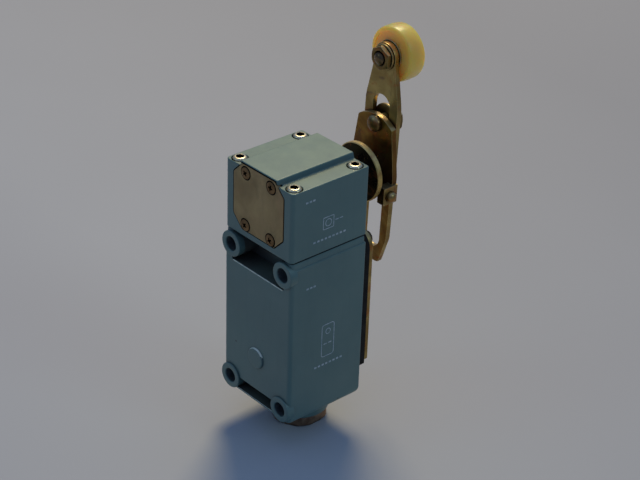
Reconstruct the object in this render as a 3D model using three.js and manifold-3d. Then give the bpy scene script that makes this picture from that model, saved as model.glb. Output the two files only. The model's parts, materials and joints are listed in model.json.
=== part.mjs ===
// A heavy-duty limit switch: a die-cast body with a separate head on top, and a sprung shaft that
// carries a length-adjustable slotted lever with a roller.
//
// Millimetres, +Z up. X runs across the switch, Y from the flat rear face (y = 0) to the cover and
// the lever at the front. The origin is the centre of the four fixing holes, on the rear face.
import * as THREE from 'three';
import { mergeVertices } from 'three/addons/utils/BufferGeometryUtils.js';
import Module from 'manifold-3d';

// ---- driving dimensions ------------------------------------------------------------------------
const FIX_X = 30; // fixing holes, centre to centre across
const FIX_Z = 60; // fixing holes, centre to centre up
const BOSS_R = 5.3;
const BOSS_PROUD = 0.8; // fixing bosses stand this far behind the rear face
const FIX_HOLE_R = 2.8;
const FIX_HOLE_DEPTH = 12;

const BODY_HALF = 19.6;
const BODY_DEPTH = 37;
const BODY_BOTTOM = -35.2;
const BODY_TOP = 35.6;
const SHOULDER = 2.8; // height of the rounded shoulder under the head
const POCKET_DEPTH = 9.5;

const HEAD_HALF = 19.1;
const HEAD_BOTTOM = 36.1;
const HEAD_LEDGE = 64.9;
const HEAD_TOP = 67.2;
const PLATFORM_HALF = 10;
const REAR_CORNER_R = 1.6;
const FRONT_CORNER_R = 0.8;

const CAVITY_HALF = 14.6;
const CAVITY_BOTTOM = -18.8;
const CAVITY_TOP = 31.6;
const CAVITY_REAR = 13;
const CORNER_PILLAR = 7;

const GASKET_FRONT = 40;
const COVER_FRONT = 42;
const COVER_HALF = 18.2;
const COVER_BOTTOM = -22.9;
const COVER_TOP = 34.4;
const COVER_SCREW = { x: 13.4, low: -17.4, high: 30.1 };

const ENTRY_Y = 22.4; // cable entry axis
const COLLAR_R = 12.2;
const COLLAR_BOTTOM = -44.3;
const ENTRY_HOLE_R = 9.3;
const SEAL_SEAT = { z: -28, r: 6.5 }; // the entry narrows here, and the seal presses up against it
const GLAND_BOTTOM = -49.2;
const GLAND_ACROSS_FLATS = 21;
const GLAND_THREAD_TOP = -35;
const CABLE_R = 4.5; // the thickest cable the seal takes
const CABLE_HOLE_R = 5.4;

const AXIS_Z = 50.6; // height of the lever shaft
const SHAFT_R = 4.5;
const CAM_SHAFT_R = 3;
const NOSE_R = 9;
const NOSE_FRONT = 44;
const LIFT = 3.2; // plunger travel per radian of shaft turn, and so the radius of the involute cams
const CAM_REST = 8; // shaft axis down to a plunger's top at rest
const MOST_TURN = 70; // degrees of shaft turn each way
const CAM_WIDTH = 3.6;
const PLUNGERS = [
  { side: 'left', x: -LIFT, y: 17 },
  { side: 'right', x: LIFT, y: 23 },
];
const STEM_R = 1.5;
const STEM_BOTTOM = 0.5;
const COLLAR_Z = 26.5; // underside of the spring collar on a plunger

const HEAD_SCREW = { x: 15.4, rear: 3.8, front: 33.2 };

const REAR_PLATE = { half: 14.2, low: 39, high: 66.3, cut: 5 };
const REAR_RECESS = 2;

const BLOCK = { half: 13.6, rear: 13.3, front: 32, low: -16, high: 16 };
const CHAMBER = { half: 12.6, rear: 14.3, low: -9.2, high: 12 };
const BRIDGE_Z = 2;
const CONTACT_GAP = 4.2;

const DISC_R = 12.1;
const DISC_REAR = 48.95;
const DISC_FRONT = 51.3;
const LEVER_TILT = 2; // degrees from upright at rest
const BASE_REAR = 56.5;
const BASE_FRONT = 58.9;
const EAR = { outer: 12.7, inner: 9.1, low: -10.4, high: -2.8, rear: 51.8 };
const BASE_HALF = 11.9;
const PINCH = { y: 55.2, z: -6.8, r: 1.9 };
const CLAMP = { x: 0.3, z: 19, r: 2.9 };
const ARM_REAR = 59.2;
const ARM_FRONT = 61.4;
const SLOT_HALF = 4.5;
const SLOT_LOW = -31.7; // centre of the slot's lower round end, from the shaft axis
const SLOT_HIGH = 25.7;
const AXLE_HEIGHT = 46; // roller axle above the shaft axis
const ARM_END_R = 5.5;
const ROLLER_R = 11;
const ROLLER_REAR = 62.2;
const ROLLER_FRONT = 69.8;
const ROLLER_BORE_R = 4.35;

const GAP = 0.3; // left between pieces that rest on each other in the tilted lever
const PRESS = 0.1; // radial gap between a pin and its hole
const THREAD = 0.15; // radial gap that stands for a screw thread
const PAST = 1; // how far a cutting tool runs past the face it leaves through

// ---- finishes ----------------------------------------------------------------------------------
const finish = (color, roughness, metalness) =>
  new THREE.MeshStandardMaterial({ color, roughness, metalness });
const MATERIALS = {
  paint: () => finish(0x5f8a92, 0.45, 0),
  chromate: () => finish(0x9a8450, 0.35, 0.9),
  rearPlate: () => finish(0x8b8172, 0.6, 0.3),
  brightSteel: () => finish(0xd8cba2, 0.25, 1),
  stainedSteel: () => finish(0x6b5a48, 0.5, 0.8),
  steel: () => finish(0x8d8f92, 0.35, 1),
  brass: () => finish(0xb08d45, 0.35, 1),
  nylon: () => finish(0xe8d79a, 0.5, 0),
  rubber: () => finish(0x1c1c1e, 0.85, 0),
  bakelite: () => finish(0x2b2422, 0.55, 0),
  glandMetal: () => finish(0x5a4640, 0.5, 0.6),
};

// ---- shapes and their extrusions ---------------------------------------------------------------
const TURN = 2 * Math.PI;
const radians = THREE.MathUtils.degToRad;

function roundedBox(x0, x1, y0, y1, nearR, farR = nearR) {
  const shape = new THREE.Shape();
  shape.absarc(x1 - nearR, y0 + nearR, nearR, -TURN / 4, 0);
  shape.absarc(x1 - farR, y1 - farR, farR, 0, TURN / 4);
  shape.absarc(x0 + farR, y1 - farR, farR, TURN / 4, TURN / 2);
  shape.absarc(x0 + nearR, y0 + nearR, nearR, TURN / 2, (3 * TURN) / 4);
  return shape;
}

function rectangle(x0, x1, y0, y1) {
  return polygon([[x0, y0], [x1, y0], [x1, y1], [x0, y1]]);
}

function polygon(points) {
  return new THREE.Shape(points.map(([x, y]) => new THREE.Vector2(x, y)));
}

function regularPolygon(sides, cornerR, x = 0, y = 0, turn = 0) {
  const corner = (i) => turn + (i / sides) * TURN;
  const at = (i) => [x + cornerR * Math.cos(corner(i)), y + cornerR * Math.sin(corner(i))];
  return polygon(Array.from({ length: sides }, (_, i) => at(i)));
}

const ARC_STEPS = 4;

function extrude(shape, length) {
  const settings = { depth: length, bevelEnabled: false, curveSegments: ARC_STEPS };
  return new THREE.ExtrudeGeometry(shape, settings);
}

// A shape drawn in (x, z), extruded along Y.
function alongY(shape, y0, y1) {
  return extrude(shape, y1 - y0).rotateX(TURN / 4).translate(0, y1, 0);
}

// A shape drawn in (y, z), extruded along X.
function alongX(shape, x0, x1) {
  const axes = new THREE.Matrix4().makeBasis(
    new THREE.Vector3(0, 1, 0),
    new THREE.Vector3(0, 0, 1),
    new THREE.Vector3(1, 0, 0),
  );
  return extrude(shape, x1 - x0).applyMatrix4(axes).translate(x0, 0, 0);
}

// A shape drawn in (x, y), extruded along Z.
function alongZ(shape, z0, z1) {
  return extrude(shape, z1 - z0).translate(0, 0, z0);
}

const ROUND_SIDES = 20;
const SHAFT_SIDES = 24;

function rodY(r, y0, y1, x = 0, z = 0, sides = ROUND_SIDES) {
  return new THREE.CylinderGeometry(r, r, y1 - y0, sides).translate(x, (y0 + y1) / 2, z);
}

function rodX(r, x0, x1, y = 0, z = 0, sides = ROUND_SIDES) {
  const rod = new THREE.CylinderGeometry(r, r, x1 - x0, sides).rotateZ(-TURN / 4);
  return rod.translate((x0 + x1) / 2, y, z);
}

function rodZ(r, z0, z1, x = 0, y = 0, sides = ROUND_SIDES) {
  const rod = new THREE.CylinderGeometry(r, r, z1 - z0, sides).rotateX(TURN / 4);
  return rod.translate(x, y, (z0 + z1) / 2);
}

// A turned piece: pairs of (radius, height along Y) that start and end on the axis, or close.
function turned(pairs, sides = ROUND_SIDES) {
  return new THREE.LatheGeometry(pairs.map(([r, h]) => new THREE.Vector2(r, h)), sides);
}

// A ring turned about the Y axis, bored right through.
function ringY(outer, inner, y0, y1, x = 0, z = 0, sides = ROUND_SIDES) {
  const profile = [[inner, y0], [outer, y0], [outer, y1], [inner, y1], [inner, y0]];
  return turned(profile, sides).translate(x, 0, z);
}

function ringZ(outer, inner, z0, z1, x = 0, y = 0, sides = ROUND_SIDES) {
  return ringY(outer, inner, z0, z1, 0, 0, sides).rotateX(TURN / 4).translate(x, y, 0);
}

// ---- boolean joins and cuts --------------------------------------------------------------------
const wasm = await Module();
wasm.setup();

function toSolid(geometry) {
  const bare = geometry.clone();
  bare.deleteAttribute('normal');
  bare.deleteAttribute('uv');
  const merged = mergeVertices(bare, 1e-4);
  const vertProperties = new Float32Array(merged.attributes.position.array);
  const triVerts = new Uint32Array(merged.index.array);
  return new wasm.Manifold(new wasm.Mesh({ numProp: 3, vertProperties, triVerts }));
}

function toGeometry(solid) {
  const { vertProperties, triVerts } = solid.getMesh();
  const geometry = new THREE.BufferGeometry();
  geometry.setAttribute('position', new THREE.BufferAttribute(vertProperties, 3));
  geometry.setIndex(new THREE.BufferAttribute(triVerts, 1));
  return geometry;
}

const join = (...pieces) => toGeometry(pieces.map(toSolid).reduce((a, b) => a.add(b)));
const cut = (base, ...tools) =>
  toGeometry(tools.map(toSolid).reduce((left, tool) => left.subtract(tool), toSolid(base)));
const common = (...pieces) => toGeometry(pieces.map(toSolid).reduce((a, b) => a.intersect(b)));

// ---- the assembly ------------------------------------------------------------------------------
const limitSwitch = new THREE.Group();
const lever = new THREE.Group(); // everything clamped to the shaft, tilted about the shaft axis
lever.position.z = AXIS_Z;
lever.rotation.y = radians(LEVER_TILT);
limitSwitch.add(lever);

function place(name, geometry, material, parent = limitSwitch) {
  const mesh = new THREE.Mesh(geometry, MATERIALS[material]());
  mesh.name = name;
  parent.add(mesh);
  return mesh;
}

const SIDES = [-1, 1];
const fixingPoints = SIDES.flatMap((sx) => SIDES.map((sz) => [(sx * FIX_X) / 2, (sz * FIX_Z) / 2]));
const headScrewPoints = [
  [-HEAD_SCREW.x, HEAD_SCREW.rear],
  [HEAD_SCREW.x, HEAD_SCREW.rear],
  [-HEAD_SCREW.x, HEAD_SCREW.front],
  [HEAD_SCREW.x, HEAD_SCREW.front],
];
const coverScrewPoints = SIDES.flatMap((sx) =>
  [COVER_SCREW.low, COVER_SCREW.high].map((z) => [sx * COVER_SCREW.x, z]),
);

// ---- body --------------------------------------------------------------------------------------
const BOSS_SIDES = 22;
const HEAD_THREAD_R = 1.95;
const HEAD_THREAD_DEPTH = 3;
const COVER_THREAD_R = 1.4;
const COVER_THREAD_REAR = 28;
const FLAP = 0.01; // keeps a tool's face off the face it would otherwise share

function bodyShell() {
  const footprint = alongZ(
    roundedBox(-BODY_HALF, BODY_HALF, 0, BODY_DEPTH, REAR_CORNER_R, FRONT_CORNER_R),
    BODY_BOTTOM, BODY_TOP,
  );
  const front = alongY(polygon([
    [-BODY_HALF, BODY_BOTTOM - PAST],
    [BODY_HALF, BODY_BOTTOM - PAST],
    [BODY_HALF, BODY_TOP - SHOULDER],
    [HEAD_HALF + 0.2, BODY_TOP - 1],
    [HEAD_HALF, BODY_TOP + PAST],
    [-HEAD_HALF, BODY_TOP + PAST],
    [-HEAD_HALF - 0.2, BODY_TOP - 1],
    [-BODY_HALF, BODY_TOP - SHOULDER],
  ]), -PAST, BODY_DEPTH + PAST);
  const footRound = 2.5;
  const side = alongX(polygon([
    [-PAST, BODY_BOTTOM],
    [BODY_DEPTH - footRound, BODY_BOTTOM],
    [BODY_DEPTH - footRound * 0.3, BODY_BOTTOM + footRound * 0.3],
    [BODY_DEPTH, BODY_BOTTOM + footRound],
    [BODY_DEPTH, BODY_TOP + PAST],
    [-PAST, BODY_TOP + PAST],
  ]), -BODY_HALF - PAST, BODY_HALF + PAST);
  return common(footprint, front, side);
}

function pocket(low, high) {
  const space = alongY(rectangle(-FIX_X / 2, FIX_X / 2, low, high), -PAST, POCKET_DEPTH);
  const bosses = fixingPoints.map(([x, z]) =>
    rodY(BOSS_R, -2 * PAST, POCKET_DEPTH + PAST, x, z, BOSS_SIDES));
  return cut(space, ...bosses);
}

function bodyCavity() {
  const h = CAVITY_HALF;
  const p = CORNER_PILLAR;
  const outline = polygon([
    [-h + p, CAVITY_BOTTOM], [h - p, CAVITY_BOTTOM], [h, CAVITY_BOTTOM + p],
    [h, CAVITY_TOP - p], [h - p, CAVITY_TOP], [-h + p, CAVITY_TOP],
    [-h, CAVITY_TOP - p], [-h, CAVITY_BOTTOM + p],
  ]);
  const wiring = { half: 9.5, rear: 3.5, high: 20.5 };
  return join(
    alongY(outline, CAVITY_REAR, BODY_DEPTH + PAST),
    alongY(rectangle(-wiring.half, wiring.half, CAVITY_BOTTOM, wiring.high),
      wiring.rear, CAVITY_REAR + PAST),
  );
}

function makeBody() {
  const topPocketFloor = 23.2;
  const bottomPocket = { low: -34, high: -28.9 };
  const bossReach = 2.5;
  const plateDisc = { r: 4.3, proud: 0.8, z: -14.3 };
  const stemHoleR = 1.9;
  const solid = join(
    bodyShell(),
    rodZ(COLLAR_R, COLLAR_BOTTOM, BODY_BOTTOM + 2, 0, ENTRY_Y, 32),
    ...fixingPoints.map(([x, z]) => rodY(BOSS_R, -BOSS_PROUD, bossReach, x, z, BOSS_SIDES)),
    rodY(plateDisc.r, -plateDisc.proud, PAST, 0, plateDisc.z),
  );
  return cut(
    solid,
    pocket(topPocketFloor, BODY_TOP + PAST),
    pocket(bottomPocket.low, bottomPocket.high),
    bodyCavity(),
    rodZ(ENTRY_HOLE_R, COLLAR_BOTTOM - PAST, SEAL_SEAT.z, 0, ENTRY_Y),
    rodZ(SEAL_SEAT.r, SEAL_SEAT.z - PAST, CAVITY_BOTTOM + PAST, 0, ENTRY_Y),
    ...fixingPoints.map(([x, z]) =>
      rodY(FIX_HOLE_R, -BOSS_PROUD - PAST, FIX_HOLE_DEPTH - BOSS_PROUD, x, z)),
    ...PLUNGERS.map(({ x, y }) => rodZ(stemHoleR, CAVITY_TOP - PAST, BODY_TOP + PAST, x, y)),
    ...headScrewPoints.map(([x, y]) =>
      rodZ(HEAD_THREAD_R, BODY_TOP - HEAD_THREAD_DEPTH, BODY_TOP + PAST, x, y, 16)),
    ...coverScrewPoints.map(([x, z]) =>
      rodY(COVER_THREAD_R + THREAD, COVER_THREAD_REAR, BODY_DEPTH + PAST, x, z, 16)),
    ...blockScrewPoints.map(([x, z]) =>
      rodY(BLOCK_SCREW.r + THREAD, BLOCK_SCREW.rear, CAVITY_REAR + PAST, x, z, 16)),
    rodY(EARTH.r + THREAD, EARTH.rear, CAVITY_REAR + PAST, EARTH.x, EARTH.z, 16),
  );
}

const BLOCK_SCREW = { x: 11.5, z: 14, r: 1.3, rear: 8 };
const blockScrewPoints = SIDES.map((sx) => [sx * BLOCK_SCREW.x, BLOCK_SCREW.z]);
const EARTH = { x: -10, z: 24.2, r: 1.4, rear: 10.7 };

place('body_housing', makeBody(), 'paint');

// ---- cable entry -------------------------------------------------------------------------------
function glandNut() {
  const cornerR = GLAND_ACROSS_FLATS / 2 / Math.cos(TURN / 12);
  const mouthR = 7.2;
  const flange = alongZ(
    regularPolygon(6, cornerR, 0, ENTRY_Y, TURN / 12), GLAND_BOTTOM, COLLAR_BOTTOM - 0.1,
  );
  const thread = rodZ(ENTRY_HOLE_R - THREAD, COLLAR_BOTTOM - PAST, GLAND_THREAD_TOP, 0, ENTRY_Y);
  const cableHole = rodZ(CABLE_HOLE_R, GLAND_BOTTOM - PAST, GLAND_THREAD_TOP + PAST, 0, ENTRY_Y);
  const mouth = rodZ(mouthR, GLAND_BOTTOM - PAST, GLAND_BOTTOM + 1.2, 0, ENTRY_Y);
  return cut(join(flange, thread), cableHole, mouth);
}

place('gland_nut', glandNut(), 'glandMetal');
const SEAL_R = ENTRY_HOLE_R - 0.25;
const SEAL_LOW = GLAND_THREAD_TOP + 1;
const WASHER_LOW = GLAND_THREAD_TOP + 0.1;
const glandWasher = ringZ(SEAL_R, CABLE_HOLE_R, WASHER_LOW, SEAL_LOW - 0.1, 0, ENTRY_Y);
place('gland_washer', glandWasher, 'steel');
const glandSeal = ringZ(SEAL_R, CABLE_R + 0.1, SEAL_LOW, SEAL_SEAT.z - 0.1, 0, ENTRY_Y);
place('gland_seal', glandSeal, 'rubber');

// ---- front cover -------------------------------------------------------------------------------
// The outline has round top corners and cut bottom corners.
function coverOutline(grow, drop = grow) {
  const half = COVER_HALF + grow;
  const low = COVER_BOTTOM - drop;
  const high = COVER_TOP + grow;
  const r = 6.5 + grow;
  const corner = 1;
  const shape = new THREE.Shape();
  shape.moveTo(-half + corner, low);
  shape.lineTo(half - corner, low);
  shape.lineTo(half, low + corner);
  shape.absarc(half - r, high - r, r, 0, TURN / 4);
  shape.absarc(-half + r, high - r, r, TURN / 4, TURN / 2);
  shape.lineTo(-half, low + corner);
  return shape;
}

function coverGasket() {
  const window = roundedBox(-13.4, 13.4, CAVITY_BOTTOM + 1, CAVITY_TOP - 1, 4.5);
  return cut(
    alongY(coverOutline(0.4, 1.4), BODY_DEPTH + 0.05, GASKET_FRONT),
    cut(
      alongY(window, BODY_DEPTH - PAST, GASKET_FRONT + PAST),
      ...coverScrewPoints.map(([x, z]) =>
        rodY(3, BODY_DEPTH - 2 * PAST, GASKET_FRONT + 2 * PAST, x, z)),
    ),
    ...coverScrewPoints.map(([x, z]) =>
      rodY(COVER_THREAD_R + THREAD, BODY_DEPTH - PAST, GASKET_FRONT + PAST, x, z, 16)),
  );
}

function bodyCover() {
  return cut(
    alongY(coverOutline(0), GASKET_FRONT + 0.05, COVER_FRONT),
    ...coverScrewPoints.map(([x, z]) =>
      rodY(COVER_THREAD_R + THREAD, GASKET_FRONT - PAST, COVER_FRONT + PAST, x, z, 16)),
  );
}

// A cheese-head screw along Y, its slotted head towards +Y, from the point to the head's top.
function slottedScrew({ x, z, r, headR, tip, seat, top }) {
  const shank = rodY(r, tip, seat + FLAP, x, z, 16);
  const head = rodY(headR, seat, top, x, z, 20);
  const slotHalf = 0.4;
  const slotFloor = top - 0.45 * (top - seat);
  const slotShape = rectangle(-headR - PAST, headR + PAST, -slotHalf, slotHalf);
  const slot = alongY(slotShape, slotFloor, top + PAST);
  return cut(join(shank, head), slot.translate(x, 0, z));
}

place('cover_gasket', coverGasket(), 'rubber');
place('body_cover', bodyCover(), 'chromate');
coverScrewPoints.forEach(([x, z], i) => {
  const screw = {
    x,
    z,
    r: COVER_THREAD_R,
    headR: 2.6,
    tip: COVER_THREAD_REAR + 1,
    seat: COVER_FRONT + 0.05,
    top: COVER_FRONT + 1.9,
  };
  place(`cover_screw_${i + 1}`, slottedScrew(screw), 'steel');
});

// ---- head --------------------------------------------------------------------------------------
const HEAD_DEPTH = 37.1;
const COUNTERBORE_R = 3.1;
const HEAD_SHANK_HOLE_R = 2.2;
const SEAT_Z = 62; // floor of the head screws' counterbores
const REAR_OPENING = { r: 8.8, z: 52 };
const REAR_SCREW = { x: 7.2, low: 41.3, high: 63.1, r: 1.3 };
const rearScrewPoints = SIDES.flatMap((sx) =>
  [REAR_SCREW.low, REAR_SCREW.high].map((z) => [sx * REAR_SCREW.x, z]),
);
const BUSH_R = 6.8;
const BUSH = { rear: 31.2, front: 42 };
const HEAD_FLOOR = 37.3;

function rearPlateOutline(grow) {
  const { half, low, high, cut: corner } = REAR_PLATE;
  const h = half + grow;
  const c = corner + grow * 0.6;
  return polygon([
    [-h + c, low - grow], [h - c, low - grow], [h, low - grow + c], [h, high + grow - c],
    [h - c, high + grow], [-h + c, high + grow], [-h, high + grow - c], [-h, low - grow + c],
  ]);
}

function headShell() {
  const footprint = alongZ(
    roundedBox(-HEAD_HALF, HEAD_HALF, 0, HEAD_DEPTH, REAR_CORNER_R, FRONT_CORNER_R),
    HEAD_BOTTOM, HEAD_TOP,
  );
  const slopeFoot = PLATFORM_HALF + 0.9;
  const edge = 0.35; // the small chamfer along the platform's top edges
  const front = alongY(polygon([
    [-HEAD_HALF, HEAD_BOTTOM - PAST],
    [HEAD_HALF, HEAD_BOTTOM - PAST],
    [HEAD_HALF, HEAD_LEDGE - edge],
    [HEAD_HALF - edge, HEAD_LEDGE],
    [slopeFoot, HEAD_LEDGE],
    [PLATFORM_HALF + 0.1, HEAD_TOP - edge],
    [PLATFORM_HALF - edge, HEAD_TOP],
    [-PLATFORM_HALF + edge, HEAD_TOP],
    [-PLATFORM_HALF - 0.1, HEAD_TOP - edge],
    [-slopeFoot, HEAD_LEDGE],
    [-HEAD_HALF + edge, HEAD_LEDGE],
    [-HEAD_HALF, HEAD_LEDGE - edge],
  ]), -PAST, HEAD_DEPTH + PAST);
  return common(footprint, front);
}

function headHousing() {
  const room = { half: 14.4, rear: 6.5, front: 30.3, eaves: 60.6, high: 63.6, bay: 9.4 };
  const mechanismRoom = alongY(polygon([
    [-room.half, HEAD_FLOOR], [room.half, HEAD_FLOOR], [room.half, room.eaves],
    [room.bay, room.eaves], [room.bay, room.high], [-room.bay, room.high],
    [-room.bay, room.eaves], [-room.half, room.eaves],
  ]), room.rear, room.front);
  return cut(
    join(headShell(), rodY(NOSE_R, HEAD_DEPTH - PAST, NOSE_FRONT, 0, AXIS_Z, 28)),
    mechanismRoom,
    rodY(REAR_OPENING.r, REAR_RECESS - PAST, room.rear + PAST, 0, REAR_OPENING.z),
    alongY(rearPlateOutline(0.35), -PAST, REAR_RECESS),
    ...rearScrewPoints.map(([x, z]) =>
      rodY(REAR_SCREW.r + THREAD, REAR_RECESS - PAST, room.rear + PAST, x, z, 16)),
    rodY(BUSH_R + PRESS, room.front - PAST, NOSE_FRONT + PAST, 0, AXIS_Z, SHAFT_SIDES),
    ...PLUNGERS.map(({ x, y }) => rodZ(STEM_R + 0.3, HEAD_BOTTOM - PAST, HEAD_FLOOR + PAST, x, y)),
    ...headScrewPoints.flatMap(([x, y]) => [
      rodZ(COUNTERBORE_R, SEAT_Z, HEAD_TOP + PAST, x, y),
      rodZ(HEAD_SHANK_HOLE_R, HEAD_BOTTOM - PAST, SEAT_Z + PAST, x, y, 16),
    ]),
  );
}

function headGasket() {
  const inset = 0.6;
  const outline = roundedBox(
    -HEAD_HALF + inset, HEAD_HALF - inset, inset, HEAD_DEPTH - inset, REAR_CORNER_R,
  );
  return cut(
    alongZ(outline, BODY_TOP + 0.05, HEAD_BOTTOM - 0.05),
    ...PLUNGERS.map(({ x, y }) => rodZ(STEM_R + 0.4, BODY_TOP - PAST, HEAD_BOTTOM + PAST, x, y, 12)),
    ...headScrewPoints.map(([x, y]) =>
      rodZ(HEAD_SHANK_HOLE_R, BODY_TOP - PAST, HEAD_BOTTOM + PAST, x, y, 12)),
  );
}

// A socket-head cap screw along Z, its chamfered head standing a little proud of its counterbore.
function headScrew(x, y) {
  const headR = 2.85;
  const top = HEAD_LEDGE + 0.7;
  const chamfer = 0.7;
  const shankR = HEAD_THREAD_R - THREAD;
  const tip = BODY_TOP - HEAD_THREAD_DEPTH + 0.2;
  const body = turned([
    [0, tip], [shankR, tip], [shankR, SEAT_Z + 0.05], [headR, SEAT_Z + 0.05],
    [headR, top - chamfer], [headR - chamfer, top], [0, top],
  ]).rotateX(TURN / 4);
  const socket = alongZ(regularPolygon(6, 1.75), top - 2, top + PAST);
  return cut(body, socket).translate(x, y, 0);
}

place('head_housing', headHousing(), 'paint');
place('head_gasket', headGasket(), 'rubber');
headScrewPoints.forEach(([x, y], i) => {
  place(`head_screw_${i + 1}`, headScrew(x, y), 'brightSteel');
});

// ---- rear inspection plate ---------------------------------------------------------------------
function rearPlate() {
  const countersink = ([x, z]) =>
    turned([[0, -1], [3.5, -1], [1.7, 0.8], [1.7, 1], [0, 1]], 16).translate(x, 0, z);
  return cut(
    alongY(rearPlateOutline(0), -0.15, 1.5),
    ...rearScrewPoints.map(([x, z]) => rodY(REAR_SCREW.r + THREAD, -PAST, REAR_RECESS, x, z, 16)),
    ...rearScrewPoints.map(countersink),
  );
}

function rearPlateSeal() {
  return cut(
    alongY(rearPlateOutline(-0.3), 1.55, REAR_RECESS - 0.05),
    rodY(REAR_OPENING.r, 0, REAR_RECESS + PAST, 0, REAR_OPENING.z),
    ...rearScrewPoints.map(([x, z]) => rodY(REAR_SCREW.r + THREAD, 0, REAR_RECESS + PAST, x, z, 16)),
  );
}

// A raised countersunk screw along Y with a cross recess in its head, which is towards -Y.
function rearScrew(x, z) {
  const tip = 6.2;
  const recessFloor = 0.35;
  const blade = { reach: 1.3, half: 0.35 };
  const body = turned([
    [0, tip], [REAR_SCREW.r, tip], [REAR_SCREW.r, 0.95], [1.35, 0.7], [2.6, -0.45],
    [2, -0.75], [0, -0.85],
  ].reverse(), 20);
  const groove = (degrees) => {
    const outline = rectangle(-blade.reach, blade.reach, -blade.half, blade.half);
    return alongY(outline, -2 * PAST, recessFloor).rotateY(radians(degrees));
  };
  return cut(body, groove(25), groove(115)).translate(x, 0, z);
}

place('rear_plate', rearPlate(), 'rearPlate');
place('rear_plate_seal', rearPlateSeal(), 'rubber');
rearScrewPoints.forEach(([x, z], i) => {
  place(`rear_plate_screw_${i + 1}`, rearScrew(x, z), 'stainedSteel');
});

// ---- shaft, bearing and cams -------------------------------------------------------------------
const CIRCLIP_REAR = 44.6;
const SPIGOT_R = 4.1;

function leverShaft() {
  const groove = SHAFT_R - 0.6;
  const end = ARM_FRONT + 0.4;
  return turned([
    [0, 9], [CAM_SHAFT_R, 9], [CAM_SHAFT_R, 28.6], [6, 28.6], [6, BUSH.rear - 0.9],
    [SHAFT_R, BUSH.rear - 0.9], [SHAFT_R, CIRCLIP_REAR], [groove, CIRCLIP_REAR],
    [groove, CIRCLIP_REAR + 1.1], [SHAFT_R, CIRCLIP_REAR + 1.1], [SHAFT_R, BASE_FRONT],
    [SPIGOT_R, BASE_FRONT], [SPIGOT_R, end - 0.5], [SPIGOT_R - 0.5, end], [0, end],
  ], SHAFT_SIDES).translate(0, 0, AXIS_Z);
}

// An involute cam: the flat top of its plunger moves LIFT for each radian of shaft turn. sign is 1
// for the plunger on the +X side, which goes down as the lever leans towards +X.
function cam({ x, y }) {
  const sign = Math.sign(x);
  const most = radians(MOST_TURN + 4);
  const steps = 26;
  const outline = [];
  for (let i = 0; i <= steps; i += 1) {
    const turn = -most + (2 * most * i) / steps;
    const support = CAM_REST + LIFT * turn;
    const px = support * Math.sin(turn) + LIFT * Math.cos(turn);
    const pz = -support * Math.cos(turn) + LIFT * Math.sin(turn);
    outline.push([sign * px, pz]);
  }
  const hubR = 4;
  for (let i = 1; i < 6; i += 1) {
    const angle = radians(30 + i * 22);
    outline.push([sign * hubR * Math.cos(angle), hubR * Math.sin(angle)]);
  }
  if (sign < 0) outline.reverse();
  const plate = alongY(polygon(outline), y - CAM_WIDTH / 2, y + CAM_WIDTH / 2);
  const bore = rodY(CAM_SHAFT_R + PRESS, y - CAM_WIDTH, y + CAM_WIDTH, 0, 0, SHAFT_SIDES);
  return cut(plate, bore).translate(0, 0, AXIS_Z);
}

place('shaft', leverShaft(), 'steel');
const bushRing = ringY(BUSH_R, SHAFT_R + PRESS, BUSH.rear, BUSH.front, 0, AXIS_Z, SHAFT_SIDES);
place('shaft_bush', bushRing, 'brass');
const sealRing = ringY(
  BUSH_R, SHAFT_R + PRESS, BUSH.front + 0.1, NOSE_FRONT - 0.2, 0, AXIS_Z, SHAFT_SIDES,
);
place('shaft_seal', sealRing, 'rubber');
const CIRCLIP_R = 6.2;
const circlip = ringY(
  CIRCLIP_R, SHAFT_R - 0.5, CIRCLIP_REAR + 0.1, CIRCLIP_REAR + 1, 0, AXIS_Z, SHAFT_SIDES,
);
place('shaft_circlip', circlip, 'steel');
PLUNGERS.forEach((plunger) => {
  place(`cam_${plunger.side}`, cam(plunger), 'steel');
});

// ---- plungers, springs and moving contacts -----------------------------------------------------
function plungerRod({ x, y }) {
  const top = AXIS_Z - CAM_REST - 0.08;
  const capR = 2.7;
  const capThickness = 1.1;
  const collarR = 3;
  return turned([
    [0, STEM_BOTTOM], [STEM_R, STEM_BOTTOM], [STEM_R, COLLAR_Z], [collarR, COLLAR_Z],
    [collarR, COLLAR_Z + 1], [STEM_R, COLLAR_Z + 1], [STEM_R, top - capThickness],
    [capR, top - capThickness], [capR, top], [0, top],
  ], 20).rotateX(TURN / 4).translate(x, y, 0);
}

class Helix extends THREE.Curve {
  constructor(r, low, high, coils) {
    super();
    Object.assign(this, { r, low, high, coils });
  }

  getPoint(t, target = new THREE.Vector3()) {
    const a = t * this.coils * TURN;
    const z = THREE.MathUtils.lerp(this.low, this.high, t);
    return target.set(this.r * Math.cos(a), this.r * Math.sin(a), z);
  }
}

function returnSpring({ x, y }) {
  const wireR = 0.3;
  const coils = 5;
  const path = new Helix(2.3, BLOCK.high + 0.45, COLLAR_Z - 0.4, coils);
  const settings = { steps: coils * 9, extrudePath: path, curveSegments: 2, bevelEnabled: false };
  return new THREE.ExtrudeGeometry(regularPolygon(5, wireR), settings).translate(x, y, 0);
}

const BRIDGE_HALF = 9;
const BRIDGE_WIDE = 2.3;
const BRIDGE_SHIFT = 0.2; // the contact pairs sit this much further out than the plungers

function contactBridge({ x, y }) {
  const centre = x + Math.sign(x) * BRIDGE_SHIFT;
  return cut(
    alongZ(
      rectangle(centre - BRIDGE_HALF, centre + BRIDGE_HALF, y - BRIDGE_WIDE, y + BRIDGE_WIDE),
      BRIDGE_Z, BRIDGE_Z + 1,
    ),
    rodZ(STEM_R + PRESS, BRIDGE_Z - PAST, BRIDGE_Z + 1 + PAST, x, y, 20),
  );
}

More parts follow.
